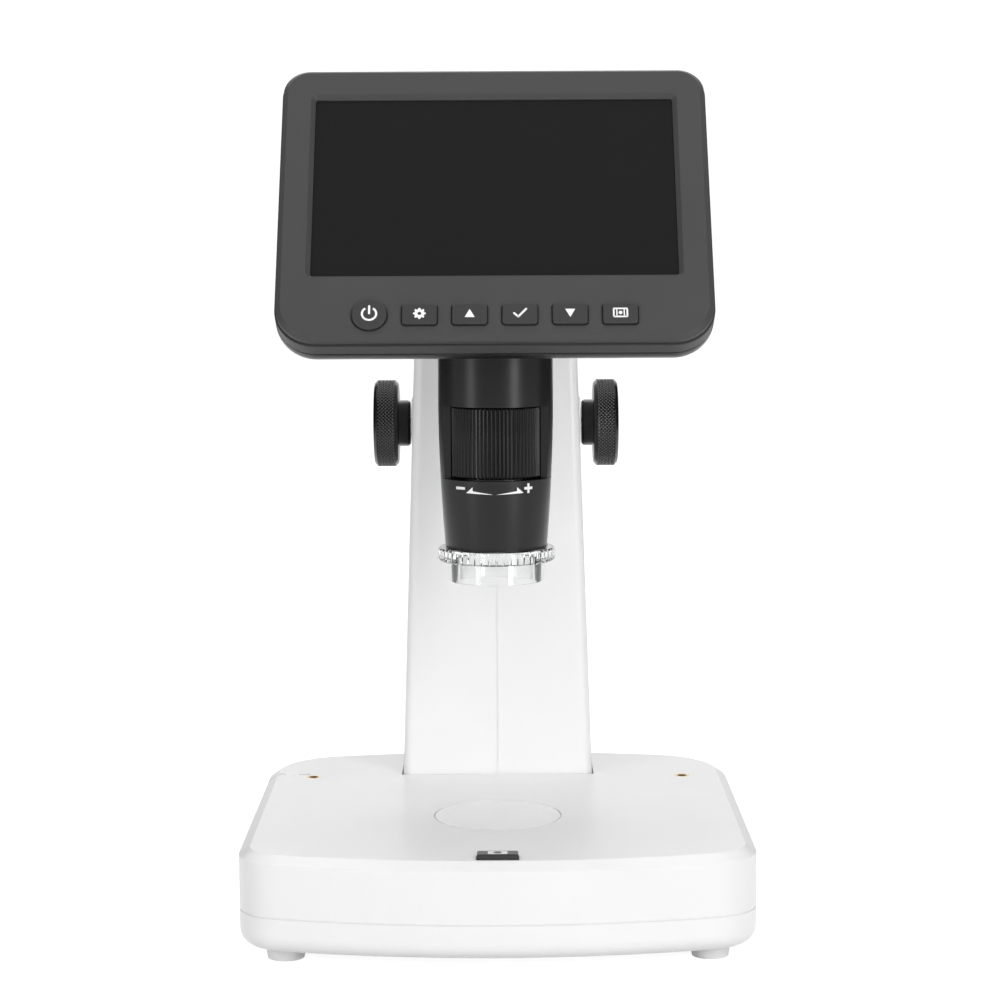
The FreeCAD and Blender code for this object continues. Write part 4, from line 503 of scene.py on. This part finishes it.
def studio_sky(context):
    """Even fill light round the sweep, which the camera sees as white."""
    fill_strength = 0.3
    world = bpy.data.worlds.new("Studio")
    world.use_nodes = True
    context.scene.world = world
    sky = world.node_tree
    rays = add(sky, "ShaderNodeLightPath").outputs
    strength = remap(sky, rays["Is Camera Ray"], 0.0, 1.0, fill_strength, 1.0)
    connect(sky, sky.nodes["Background"], (("Color", (1, 1, 1, 1)), ("Strength", strength)))


class MICROSCOPE_OT_studio(bpy.types.Operator):
    """Floor, backdrop, lights and camera"""

    bl_idname = "microscope.studio"
    bl_label = "Studio"

    def execute(self, context):
        stage_floor()
        studio_sky(context)
        for box in SOFT_BOXES:
            soft_box(*box)
        for side in (-1, 1):
            dark_card(side)
        context.scene.view_settings.view_transform = "Standard"
        camera_view(context)
        return {"FINISHED"}


# Base and column

def hull(points):
    """The convex outline of points in a plane, counter-clockwise."""
    points = sorted(set(points))
    chains = []
    for ordered in (points, points[::-1]):
        chain = []
        for x, y in ordered:
            while len(chain) > 1:
                (x1, y1), (x2, y2) = chain[-2:]
                if (x2 - x1) * (y - y1) - (y2 - y1) * (x - x1) > 0:
                    break
                chain.pop()
            chain.append((x, y))
        chains.append(chain[:-1])
    return chains[0] + chains[1]


def parting_lip():
    """The tray's lip, which closes the line between the base's two shells."""
    outer_inset = 0.26 * MM
    inner_inset = 1.2 * MM
    overlap = 0.2 * MM
    same_level = 0.01 * MM
    tray_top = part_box("base_bottom_tray")[1][2]
    low = tray_top - overlap
    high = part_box("base_top_shell")[0][2] + overlap
    vertices = frame["nodes"]["base_bottom_tray"].data.vertices
    outline = hull([(v.co.x, v.co.y) for v in vertices if abs(v.co.z - tray_top) < same_level])
    rows = []
    for inset, height in ((outer_inset, low), (outer_inset, high), (inner_inset, high), (inner_inset, low)):
        row = []
        for index, (x, y) in enumerate(outline):
            before, after = outline[index - 1], outline[(index + 1) % len(outline)]
            inward = Vector((before[1] - after[1], after[0] - before[0])).normalized() * inset
            row.append((x + inward.x, y + inward.y, height))
        rows.append(row)
    piece = new_piece("base_lip", grid_mesh("base_lip", rows, closed_columns=True),
                      shell_plastic(), "stand", smooth=False)


def seam_lip():
    """The tongues between the column's two halves, along the front and along the leaning back."""
    sunk = 0.22 * MM
    reach = 1.5 * MM
    half_gap = 0.11 * MM
    below_base_top = 1 * MM
    below_column_top = 3 * MM
    top_rim = 1 * MM
    low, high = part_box("column_right_shell")
    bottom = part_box("base_top_shell")[1][2] - below_base_top
    top = high[2] - below_column_top
    vertices = frame["nodes"]["column_right_shell"].data.vertices
    back_lean = high[1] - max(v.co.y for v in vertices if v.co.z > high[2] - top_rim)
    for name, near, far, lean in (("front_seam_lip", low[1] + sunk, low[1] + reach, 0.0),
                                  ("back_seam_lip", high[1] - reach, high[1] - sunk, back_lean)):
        rows = [[(x, near, bottom), (x, far, bottom), (x, far - lean, top), (x, near - lean, top)]
                for x in (-half_gap, half_gap)]
        piece = new_piece(name, grid_mesh(name, rows), shell_plastic(), "stand", smooth=False)


class MICROSCOPE_OT_base(bpy.types.Operator):
    """White shells of the base and column, the lips in their joints, and the rubber feet"""

    bl_idname = "microscope.base"
    bl_label = "Base and column"

    def execute(self, context):
        dress(shell_plastic(), "base_top_shell", "base_bottom_tray", "column_left_shell",
              "column_right_shell", "dimmer_wheel")
        dress(moulded("Foot rubber", colours().feet, roughness=0.6, grain=0.3, pitch=0.4 * MM), "base_feet")
        parting_lip()
        seam_lip()
        return {"FINISHED"}


class MICROSCOPE_OT_stage_plate(bpy.types.Operator):
    """Frosted stage disc and the brass clip sockets"""

    bl_idname = "microscope.stage_plate"
    bl_label = "Stage"

    def execute(self, context):
        dress(moulded("Frosted stage", colours().stage_plate, roughness=0.12, grain=0.02, drift=0.01,
                      coat=0.5), "stage_disc")
        dress(metal("Clip brass", (0.68, 0.52, 0.28), roughness=0.3), "clip_sockets")
        return {"FINISHED"}


# Signs on the keys: flat outlines in the leaning frame of the screen head

def screen_axes():
    """The screen head's leaning axes: x across it, y up the screen and z out of it."""
    joints = frame["record"]["behaviour"]["joints"]
    press = next(joint for joint in joints if joint["name"] == "menu_press")
    out = -Vector(press["axis"]).normalized()
    across = Vector((1, 0, 0))
    return across, out.cross(across), out


def reach_along(node, direction):
    """Lowest and highest reach of a CAD node along a direction."""
    values = [Vector(vertex.co).dot(direction) for vertex in frame["nodes"][node].data.vertices]
    return min(values), max(values)


def key_frame(node):
    """A frame on the middle of a key's top."""
    across, up, out = screen_axes()
    centre = (across * sum(reach_along(node, across)) / 2 + up * sum(reach_along(node, up)) / 2
              + out * reach_along(node, out)[1])
    return Matrix.Translation(centre) @ Matrix((across, up, out)).transposed().to_4x4()


def flat_sign(name, shapes, matrix, material, body):
    """Thin raised shapes, each given as an outline."""
    height = sizes().sign_height
    mesh = bmesh.new()
    for outline in shapes:
        low = [mesh.verts.new((x, y, -height)) for x, y in outline]
        high = [mesh.verts.new((x, y, height)) for x, y in outline]
        mesh.faces.new(high)
        mesh.faces.new(low[::-1])
        for index in range(len(outline)):
            following = (index + 1) % len(outline)
            mesh.faces.new((low[index], low[following], high[following], high[index]))
    bmesh.ops.recalc_face_normals(mesh, faces=mesh.faces)
    data = bpy.data.meshes.new(name)
    mesh.to_mesh(data)
    mesh.free()
    data.transform(matrix)
    new_piece(name, data, material, body, smooth=False)


def polar(radius, angle):
    return radius * math.cos(angle), radius * math.sin(angle)


def disc(radius, steps=24):
    return [polar(radius, 2 * math.pi * step / steps) for step in range(steps)]


def band(inner, outer, steps, start=0.0, stop=2 * math.pi):
    """Quads along an arc, from an inner radius to an outer one that is a function of the angle."""
    shapes = []
    for step in range(steps):
        first, second = (start + (stop - start) * (step + end) / steps for end in (0, 1))
        shapes.append([polar(inner, first), polar(outer(first), first), polar(outer(second), second),
                       polar(inner, second)])
    return shapes


def round_bar(x0, y0, x1, y1, stroke, steps=8):
    """A straight stroke with round ends."""
    angle = math.atan2(y1 - y0, x1 - x0)
    points = []
    for (x, y), start in (((x1, y1), -math.pi / 2), ((x0, y0), math.pi / 2)):
        for step in range(steps + 1):
            aside_x, aside_y = polar(stroke / 2, angle + start + math.pi * step / steps)
            points.append((x + aside_x, y + aside_y))
    return points


def rounded_box(half_x, half_y, corner, steps=6):
    """A rectangle's outline with round corners."""
    points = []
    for quarter, (side_x, side_y) in enumerate(((1, 1), (-1, 1), (-1, -1), (1, -1))):
        for step in range(steps + 1):
            aside_x, aside_y = polar(corner, math.pi / 2 * (quarter + step / steps))
            points.append((side_x * (half_x - corner) + aside_x, side_y * (half_y - corner) + aside_y))
    return points


def power_sign():
    """A ring that is open at the top, with a bar in the opening."""
    stroke = sizes().sign_stroke
    radius = 1.85 * MM
    half_gap = math.radians(33)
    bar_low, bar_high = 0.1 * MM, 2.25 * MM
    top = math.pi / 2
    ring = band(radius - stroke / 2, lambda angle: radius + stroke / 2, steps=40,
                start=top + half_gap, stop=top + 2 * math.pi - half_gap)
    return ring + [round_bar(0, bar_low, 0, bar_high, stroke)]


def gear_sign():
    """A ring with eight round-cornered teeth."""
    bore = 0.5 * MM
    middle = 1.45 * MM
    half_tooth = 0.2 * MM
    teeth = 8
    steepness = 3
    return band(bore, lambda angle: middle + half_tooth * math.tanh(steepness * math.cos(teeth * angle)),
                steps=96)


def triangle_sign(point_up):
    side = 1 if point_up else -1
    half_width = 1.3 * MM
    foot, point = -1.15 * side * MM, 1.25 * side * MM
    outline = [(-half_width, foot), (half_width, foot), (0, point)]
    return [outline if point_up else outline[::-1]]


def tick_sign():
    stroke = sizes().sign_stroke
    left_end = (-1.5 * MM, -0.05 * MM)
    corner = (-0.45 * MM, -1.1 * MM)
    right_end = (1.6 * MM, 1.2 * MM)
    return [round_bar(*left_end, *corner, stroke), round_bar(*corner, *right_end, stroke)]


def frame_sign():
    """A picture frame with side bars and a dot."""
    stroke = sizes().sign_stroke * 0.8
    thin_stroke = stroke * 0.7
    x, y = 1.75 * MM, 1.2 * MM
    side_bar = 0.95 * MM
    dot_radius = 0.5 * MM
    corners = [(-x, -y), (x, -y), (x, y), (-x, y)]
    bars = [round_bar(*corners[index], *corners[(index + 1) % 4], stroke) for index in range(4)]
    bars += [round_bar(side, -y, side, y, thin_stroke) for side in (-side_bar, side_bar)]
    return bars + [disc(dot_radius)]


class MICROSCOPE_OT_keys(bpy.types.Operator):
    """The six keys below the screen and their printed signs"""

    bl_idname = "microscope.keys"
    bl_label = "Keys"

    def execute(self, context):
        plastic = moulded("Key plastic", colours().keys, roughness=0.4, grain=0.08, sheen=0.25)
        signs = {"power": power_sign(), "menu": gear_sign(), "up": triangle_sign(True),
                 "enter": tick_sign(), "down": triangle_sign(False), "mode": frame_sign()}
        for key, shapes in signs.items():
            button = f"{key}_button"
            dress(plastic, button)
            flat_sign(f"{key}_sign", shapes, key_frame(button), sign_ink(), f"{key}_key")
        return {"FINISHED"}


class MICROSCOPE_OT_head(bpy.types.Operator):
    """Front frame and rear cover of the screen head"""

    bl_idname = "microscope.head"
    bl_label = "Screen head"

    def execute(self, context):
        dress(moulded("Charcoal plate", colours().head, roughness=0.42, grain=0.1, sheen=0.2),
              "head_front_frame")
        dress(barrel_plastic(), "head_rear_cover")
        return {"FINISHED"}


class MICROSCOPE_OT_screen(bpy.types.Operator):
    """Dark display glass in the front frame"""

    bl_idname = "microscope.screen"
    bl_label = "Screen"

    def execute(self, context):
        dress(moulded("Display glass", colours().screen, roughness=0.12, grain=0.004, drift=0.01,
                      smudge=0.03, sheen=0.3), "screen_glass")
        dress(moulded("Display panel", (0.008, 0.008, 0.009), roughness=0.2, grain=0.02), "lcd_panel")
        return {"FINISHED"}


# Barrel: printed marks lie on the nose's curved wall

def nose_wall():
    """The nose's outer wall as (height, radius) pairs, from its own points."""
    wider_than_bore = 13.5 * MM
    rings = {}
    for vertex in frame["nodes"]["barrel_nose"].data.vertices:
        radius = math.hypot(vertex.co.x, vertex.co.y - BARREL_Y)
        rings.setdefault(round(vertex.co.z, 5), []).append(radius)
    outermost = sorted((level, max(radii)) for level, radii in rings.items())
    return [(level, radius) for level, radius in outermost if radius > wider_than_bore]


def wall_radius(wall, height):
    """The wall's radius at a height."""
    for (low, low_radius), (high, high_radius) in zip(wall, wall[1:]):
        if low <= height <= high:
            return low_radius + (high_radius - low_radius) * (height - low) / (high - low)
    return wall[-1][1]


def wrapped_sign(name, outline, wall, body):
    """An outline of (arc length, height) wrapped on the nose's front as a thin raised mark."""
    mesh = bmesh.new()
    mesh.faces.new([mesh.verts.new((x, y, 0)) for x, y in outline])
    bmesh.ops.triangulate(mesh, faces=mesh.faces)
    bmesh.ops.subdivide_edges(mesh, edges=mesh.edges, cuts=6, use_grid_fill=True)
    bmesh.ops.triangulate(mesh, faces=mesh.faces)
    for vertex in mesh.verts:
        radius = wall_radius(wall, vertex.co.y)
        angle = vertex.co.x / radius
        reach = radius + sizes().sign_height
        vertex.co = (reach * math.sin(angle), BARREL_Y - reach * math.cos(angle), vertex.co.y)
    data = bpy.data.meshes.new(name)
    mesh.to_mesh(data)
    mesh.free()
    new_piece(name, data, sign_ink(), body)


def focus_marks():
    """Two arrows that point apart, with a minus beside one and a plus beside the other."""
    wall = nose_wall()
    nose_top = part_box("barrel_nose")[1][2]
    arrow_foot = nose_top - 3.55 * MM
    head_length, head_height, shaft_height, tip_height = 2.0 * MM, 2.0 * MM, 0.9 * MM, 0.3 * MM
    # Each arrow's tail and tip are arc lengths from the middle of the nose's front
    for side, name, tail, tip in ((-1, "out_arrow", 0.65 * MM, 8.6 * MM),
                                  (1, "in_arrow", 0.15 * MM, 7.95 * MM)):
        shoulder = tip - head_length
        outline = [(side * tail, arrow_foot), (side * tip, arrow_foot + tip_height),
                   (side * shoulder, arrow_foot + head_height), (side * shoulder, arrow_foot + shaft_height)]
        wrapped_sign(name, outline if side > 0 else outline[::-1], wall, "head")
    stroke, minus_width, plus_width = 0.75 * MM, 3.2 * MM, 2.7 * MM
    minus_place, plus_place = -10.6 * MM, 9.5 * MM
    y = nose_top - 2.0 * MM
    for name, x, wide, tall in (("minus_mark", minus_place, minus_width, stroke),
                                ("plus_bar", plus_place, plus_width, stroke),
                                ("plus_post", plus_place, stroke, plus_width)):
        outline = [(x - wide / 2, y - tall / 2), (x + wide / 2, y - tall / 2),
                   (x + wide / 2, y + tall / 2), (x - wide / 2, y + tall / 2)]
        wrapped_sign(name, outline, wall, "head")


def ribbed_wheel():
    """The focus wheel with round ribs, between plain rims that lie as in its solid."""
    low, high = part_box("focus_wheel")
    centre_x, centre_y = (low[0] + high[0]) / 2, (low[1] + high[1]) / 2
    bottom, top = low[2], high[2]
    radius = (high[0] - low[0]) / 2
    bore = min(math.hypot(vertex.co.x - centre_x, vertex.co.y - centre_y)
               for vertex in frame["nodes"]["focus_wheel"].data.vertices)
    edge = 0.5 * MM
    corner = edge * 0.3
    corner_share = 0.4
    ribs = 72
    columns = ribs * 12
    hollow_power = 1.3
    # Points of the half section: radius, height and share of the ribs' depth
    outline = [(bore, bottom, 0), (radius - edge, bottom, 0),
               (radius - corner, bottom + corner, corner_share), (radius, bottom + edge, 1),
               (radius, top - edge, 1), (radius - corner, top - corner, corner_share),
               (radius - edge, top, 0), (bore, top, 0)]
    rows = []
    for reach, height, share in outline:
        row = []
        for column in range(columns):
            angle = 2 * math.pi * column / columns
            hollow = 1 - abs(math.cos(ribs * angle / 2)) ** hollow_power
            x, y = polar(reach - sizes().rib_depth * share * hollow, angle)
            row.append((centre_x + x, centre_y + y, height))
        rows.append(row)
    plastic = moulded("Wheel plastic", colours().wheel, roughness=0.22, grain=0.02, sheen=0.25)
    piece = new_piece("ribbed_wheel", grid_mesh("ribbed_wheel", rows, closed_columns=True), plastic,
                      "focus_ring")
    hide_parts("focus_wheel")


class MICROSCOPE_OT_barrel(bpy.types.Operator):
    """Barrel, nose, focus wheel and the printed focusing marks"""

    bl_idname = "microscope.barrel"
    bl_label = "Barrel"

    def execute(self, context):
        dress(barrel_plastic(), "barrel_body", "barrel_nose")
        ribbed_wheel()
        focus_marks()
        return {"FINISHED"}


class MICROSCOPE_OT_tip(bpy.types.Operator):
    """Clear tip cover below the nose"""

    bl_idname = "microscope.tip"
    bl_label = "Tip cover"

    def execute(self, context):
        # edge=0.55 darkens the cover's steep walls: painted shade on its rims
        dress(clear_plastic("Clear tip plastic", colours().tip, roughness=0.05, index=1.49, edge=0.55),
              "tip_cover")
        return {"FINISHED"}


# Knobs with a diamond knurl

def knob_section(radius, width):
    """A knob's half section as (radius, height) points: its back, its rim and its dished front."""
    bore = 3.1 * MM
    hub = 7.05 * MM
    hub_length = 3.6 * MM
    hub_edge = 0.8 * MM
    fillet = 0.15 * MM
    edge = 1.0 * MM
    edge_run = 0.2 * MM
    softening = 0.08 * MM
    dish = radius - edge * 2.6
    dish_depth = 0.6 * MM
    flat_ring = 5.6 * MM
    floor = width - dish_depth
    rim_steps = 30
    back = [(bore, 0), (hub - hub_edge, 0), (hub - 0.35 * MM, 0.2 * MM), (hub, hub_edge),
            (hub, hub_length - fillet), (hub + fillet, hub_length),
            (radius - edge - edge_run, hub_length), (radius - edge, hub_length + softening),
            (radius - softening, hub_length + edge - 0.1 * MM)]
    rim_low, rim_high = hub_length + edge, width - edge
    rim = [(radius, rim_low + (rim_high - rim_low) * step / rim_steps) for step in range(rim_steps + 1)]
    front = [(radius - softening, width - edge + 0.1 * MM), (radius - edge, width - 0.05 * MM),
             (radius - edge - edge_run, width), (dish + dish_depth + fillet, width),
             (dish + dish_depth, width - 0.04 * MM), (dish, floor + 0.02 * MM), (dish - edge_run, floor),
             (flat_ring, floor), (bore, floor)]
    return back, rim, front


def knurl_crest(turns, height, rim_low, rim_high):
    """How near a point of the rim is to a diamond's crest, from 0 to 1, and the knurl's fade to the edges."""
    fade_width = 0.25 * MM
    wave = height / sizes().knurl_pitch
    crest = min(abs(math.sin(math.pi * (turns + wave))), abs(math.sin(math.pi * (turns - wave))))
    return crest, min(1.0, min(height - rim_low, rim_high - height) / fade_width)


def knurled_knob(name, node, side, plastic):
    """A knob like its CAD solid, with a real diamond knurl on its rim."""
    low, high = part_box(node)
    inner, outer = (low[0], high[0]) if side > 0 else (high[0], low[0])
    centre_y, centre_z = (low[1] + high[1]) / 2, (low[2] + high[2]) / 2
    radius = (high[1] - low[1]) / 2
    back, rim, front = knob_section(radius, abs(outer - inner))
    rim_low, rim_high = rim[0][1], rim[-1][1]
    diamonds = int(round(2 * math.pi * radius / sizes().knurl_pitch))
    columns = diamonds * 5
    crest_power = 0.8
    rows, crests = [], []
    for points, knurled in ((back, False), (rim, True), (front, False)):
        for reach, height in points:
            row, row_crests = [], []
            for column in range(columns):
                angle = 2 * math.pi * column / columns
                crest, fade = 0.0, 0.0
                if knurled:
                    crest, fade = knurl_crest(diamonds * column / columns, height, rim_low, rim_high)
                y, z = polar(reach - sizes().knurl_depth * fade * (1 - crest ** crest_power), angle)
                row.append((inner + side * height, centre_y + y, centre_z + z))
                row_crests.append(crest * fade)
            rows.append(row[::side])
            crests += row_crests[::side]
    data = grid_mesh(name, rows)
    # The crest value shapes the knurl and also masks the painted highlight of Knob plastic
    data.attributes.new("crest", "FLOAT", "POINT").data.foreach_set("value", crests)
    piece = new_piece(name, data, plastic, "knobs")
    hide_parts(node)


class MICROSCOPE_OT_knobs(bpy.types.Operator):
    """Knurled focusing knobs with their shaft and screws"""

    bl_idname = "microscope.knobs"
    bl_label = "Knobs"

    def execute(self, context):
        plastic = knob_plastic()
        knurled_knob("right_knob", "knob_right", 1, plastic)
        knurled_knob("left_knob", "knob_left", -1, plastic)
        dress(steel(), "knob_shaft", "knob_set_screws")
        dress(metal("Bush brass", (0.66, 0.5, 0.27), roughness=0.35), "shaft_bushes", "pinion", "rack",
              "carriage_bushes")
        return {"FINISHED"}


class MICROSCOPE_OT_snapshot(bpy.types.Operator):
    """Black snapshot button in the base's front edge, with its camera sign"""

    bl_idname = "microscope.snapshot"
    bl_label = "Snapshot button"

    def execute(self, context):
        half_width, half_height, corner, lens_radius = 2.6 * MM, 1.5 * MM, 0.4 * MM, 1.1 * MM
        dress(button_plastic(), "snapshot_button")
        low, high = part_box("snapshot_button")
        matrix = Matrix.Translation(((low[0] + high[0]) / 2, (low[1] + high[1]) / 2, high[2]))
        flat_sign("camera_sign", [rounded_box(half_width, half_height, corner)], matrix, sign_ink(),
                  "snapshot_key")
        raised = Matrix.Translation((0, 0, sizes().sign_height)) @ matrix
        flat_sign("camera_lens_sign", [disc(lens_radius)], raised, button_plastic(), "snapshot_key")
        return {"FINISHED"}


class MICROSCOPE_OT_inside(bpy.types.Operator):
    """Boards, slide, lens and fasteners inside the housings"""

    bl_idname = "microscope.inside"
    bl_label = "Inner works"

    def execute(self, context):
        dress(circuit("Green board", (0.02, 0.09, 0.04)), "main_board", "key_board", "sensor_board",
              "snapshot_board", "base_board")
        dress(circuit("White board", (0.7, 0.7, 0.68)), "stage_light_board", "led_ring")
        dress(metal("Cast aluminium", (0.55, 0.55, 0.56), roughness=0.42, stretch=(700.0, 700.0, 700.0)),
              "foot_block", "top_rod_mount", "carriage", "head_arm", "lens_carrier")
        dress(steel(), "base_screws", "foot_block_screws", "column_screws", "arm_screws", "head_screws",
              "guide_rods", "usb_socket", "card_socket", "ballast_plate")
        dress(moulded("Cell wrap", (0.2, 0.2, 0.21), roughness=0.3), "battery")
        dress(moulded("Small black parts", (0.015, 0.015, 0.015), roughness=0.4), "dimmer_pot")
        dress(moulded("Reflector white", (0.8, 0.8, 0.8), roughness=0.5), "stage_reflector")
        dress(clear_plastic("Lens glass", (0.97, 0.98, 1.0), roughness=0.02, index=1.52), "lens_stack")
        return {"FINISHED"}


OPERATORS = (MICROSCOPE_OT_studio, MICROSCOPE_OT_base, MICROSCOPE_OT_stage_plate, MICROSCOPE_OT_head,
             MICROSCOPE_OT_screen, MICROSCOPE_OT_keys, MICROSCOPE_OT_barrel, MICROSCOPE_OT_tip,
             MICROSCOPE_OT_knobs, MICROSCOPE_OT_snapshot, MICROSCOPE_OT_inside)


class MICROSCOPE_PT_panel(bpy.types.Panel):
    """Lists the steps in the order that they run"""

    bl_idname = "MICROSCOPE_PT_panel"
    bl_label = "Digital microscope"
    bl_space_type = "VIEW_3D"
    bl_region_type = "UI"
    bl_category = "Microscope"

    def draw(self, context):
        for operator in OPERATORS:
            self.layout.operator(operator.bl_idname)
        for settings in (context.scene.microscope_colours, context.scene.microscope_sizes):
            for key in settings.bl_rna.properties.keys():
                if key not in ("rna_type", "name"):
                    self.layout.prop(settings, key)


CLASSES = (MicroscopeColours, MicroscopeSizes, *OPERATORS, MICROSCOPE_PT_panel)


def register():
    for each in CLASSES:
        bpy.utils.register_class(each)
    bpy.types.Scene.microscope_colours = PointerProperty(type=MicroscopeColours)
    bpy.types.Scene.microscope_sizes = PointerProperty(type=MicroscopeSizes)


def unregister():
    del bpy.types.Scene.microscope_sizes
    del bpy.types.Scene.microscope_colours
    for each in reversed(CLASSES):
        bpy.utils.unregister_class(each)


def main():
    register()
    for operator in OPERATORS:
        family, name = operator.bl_idname.split(".")
        getattr(getattr(bpy.ops, family), name)()


if __name__ == "__main__":
    main()
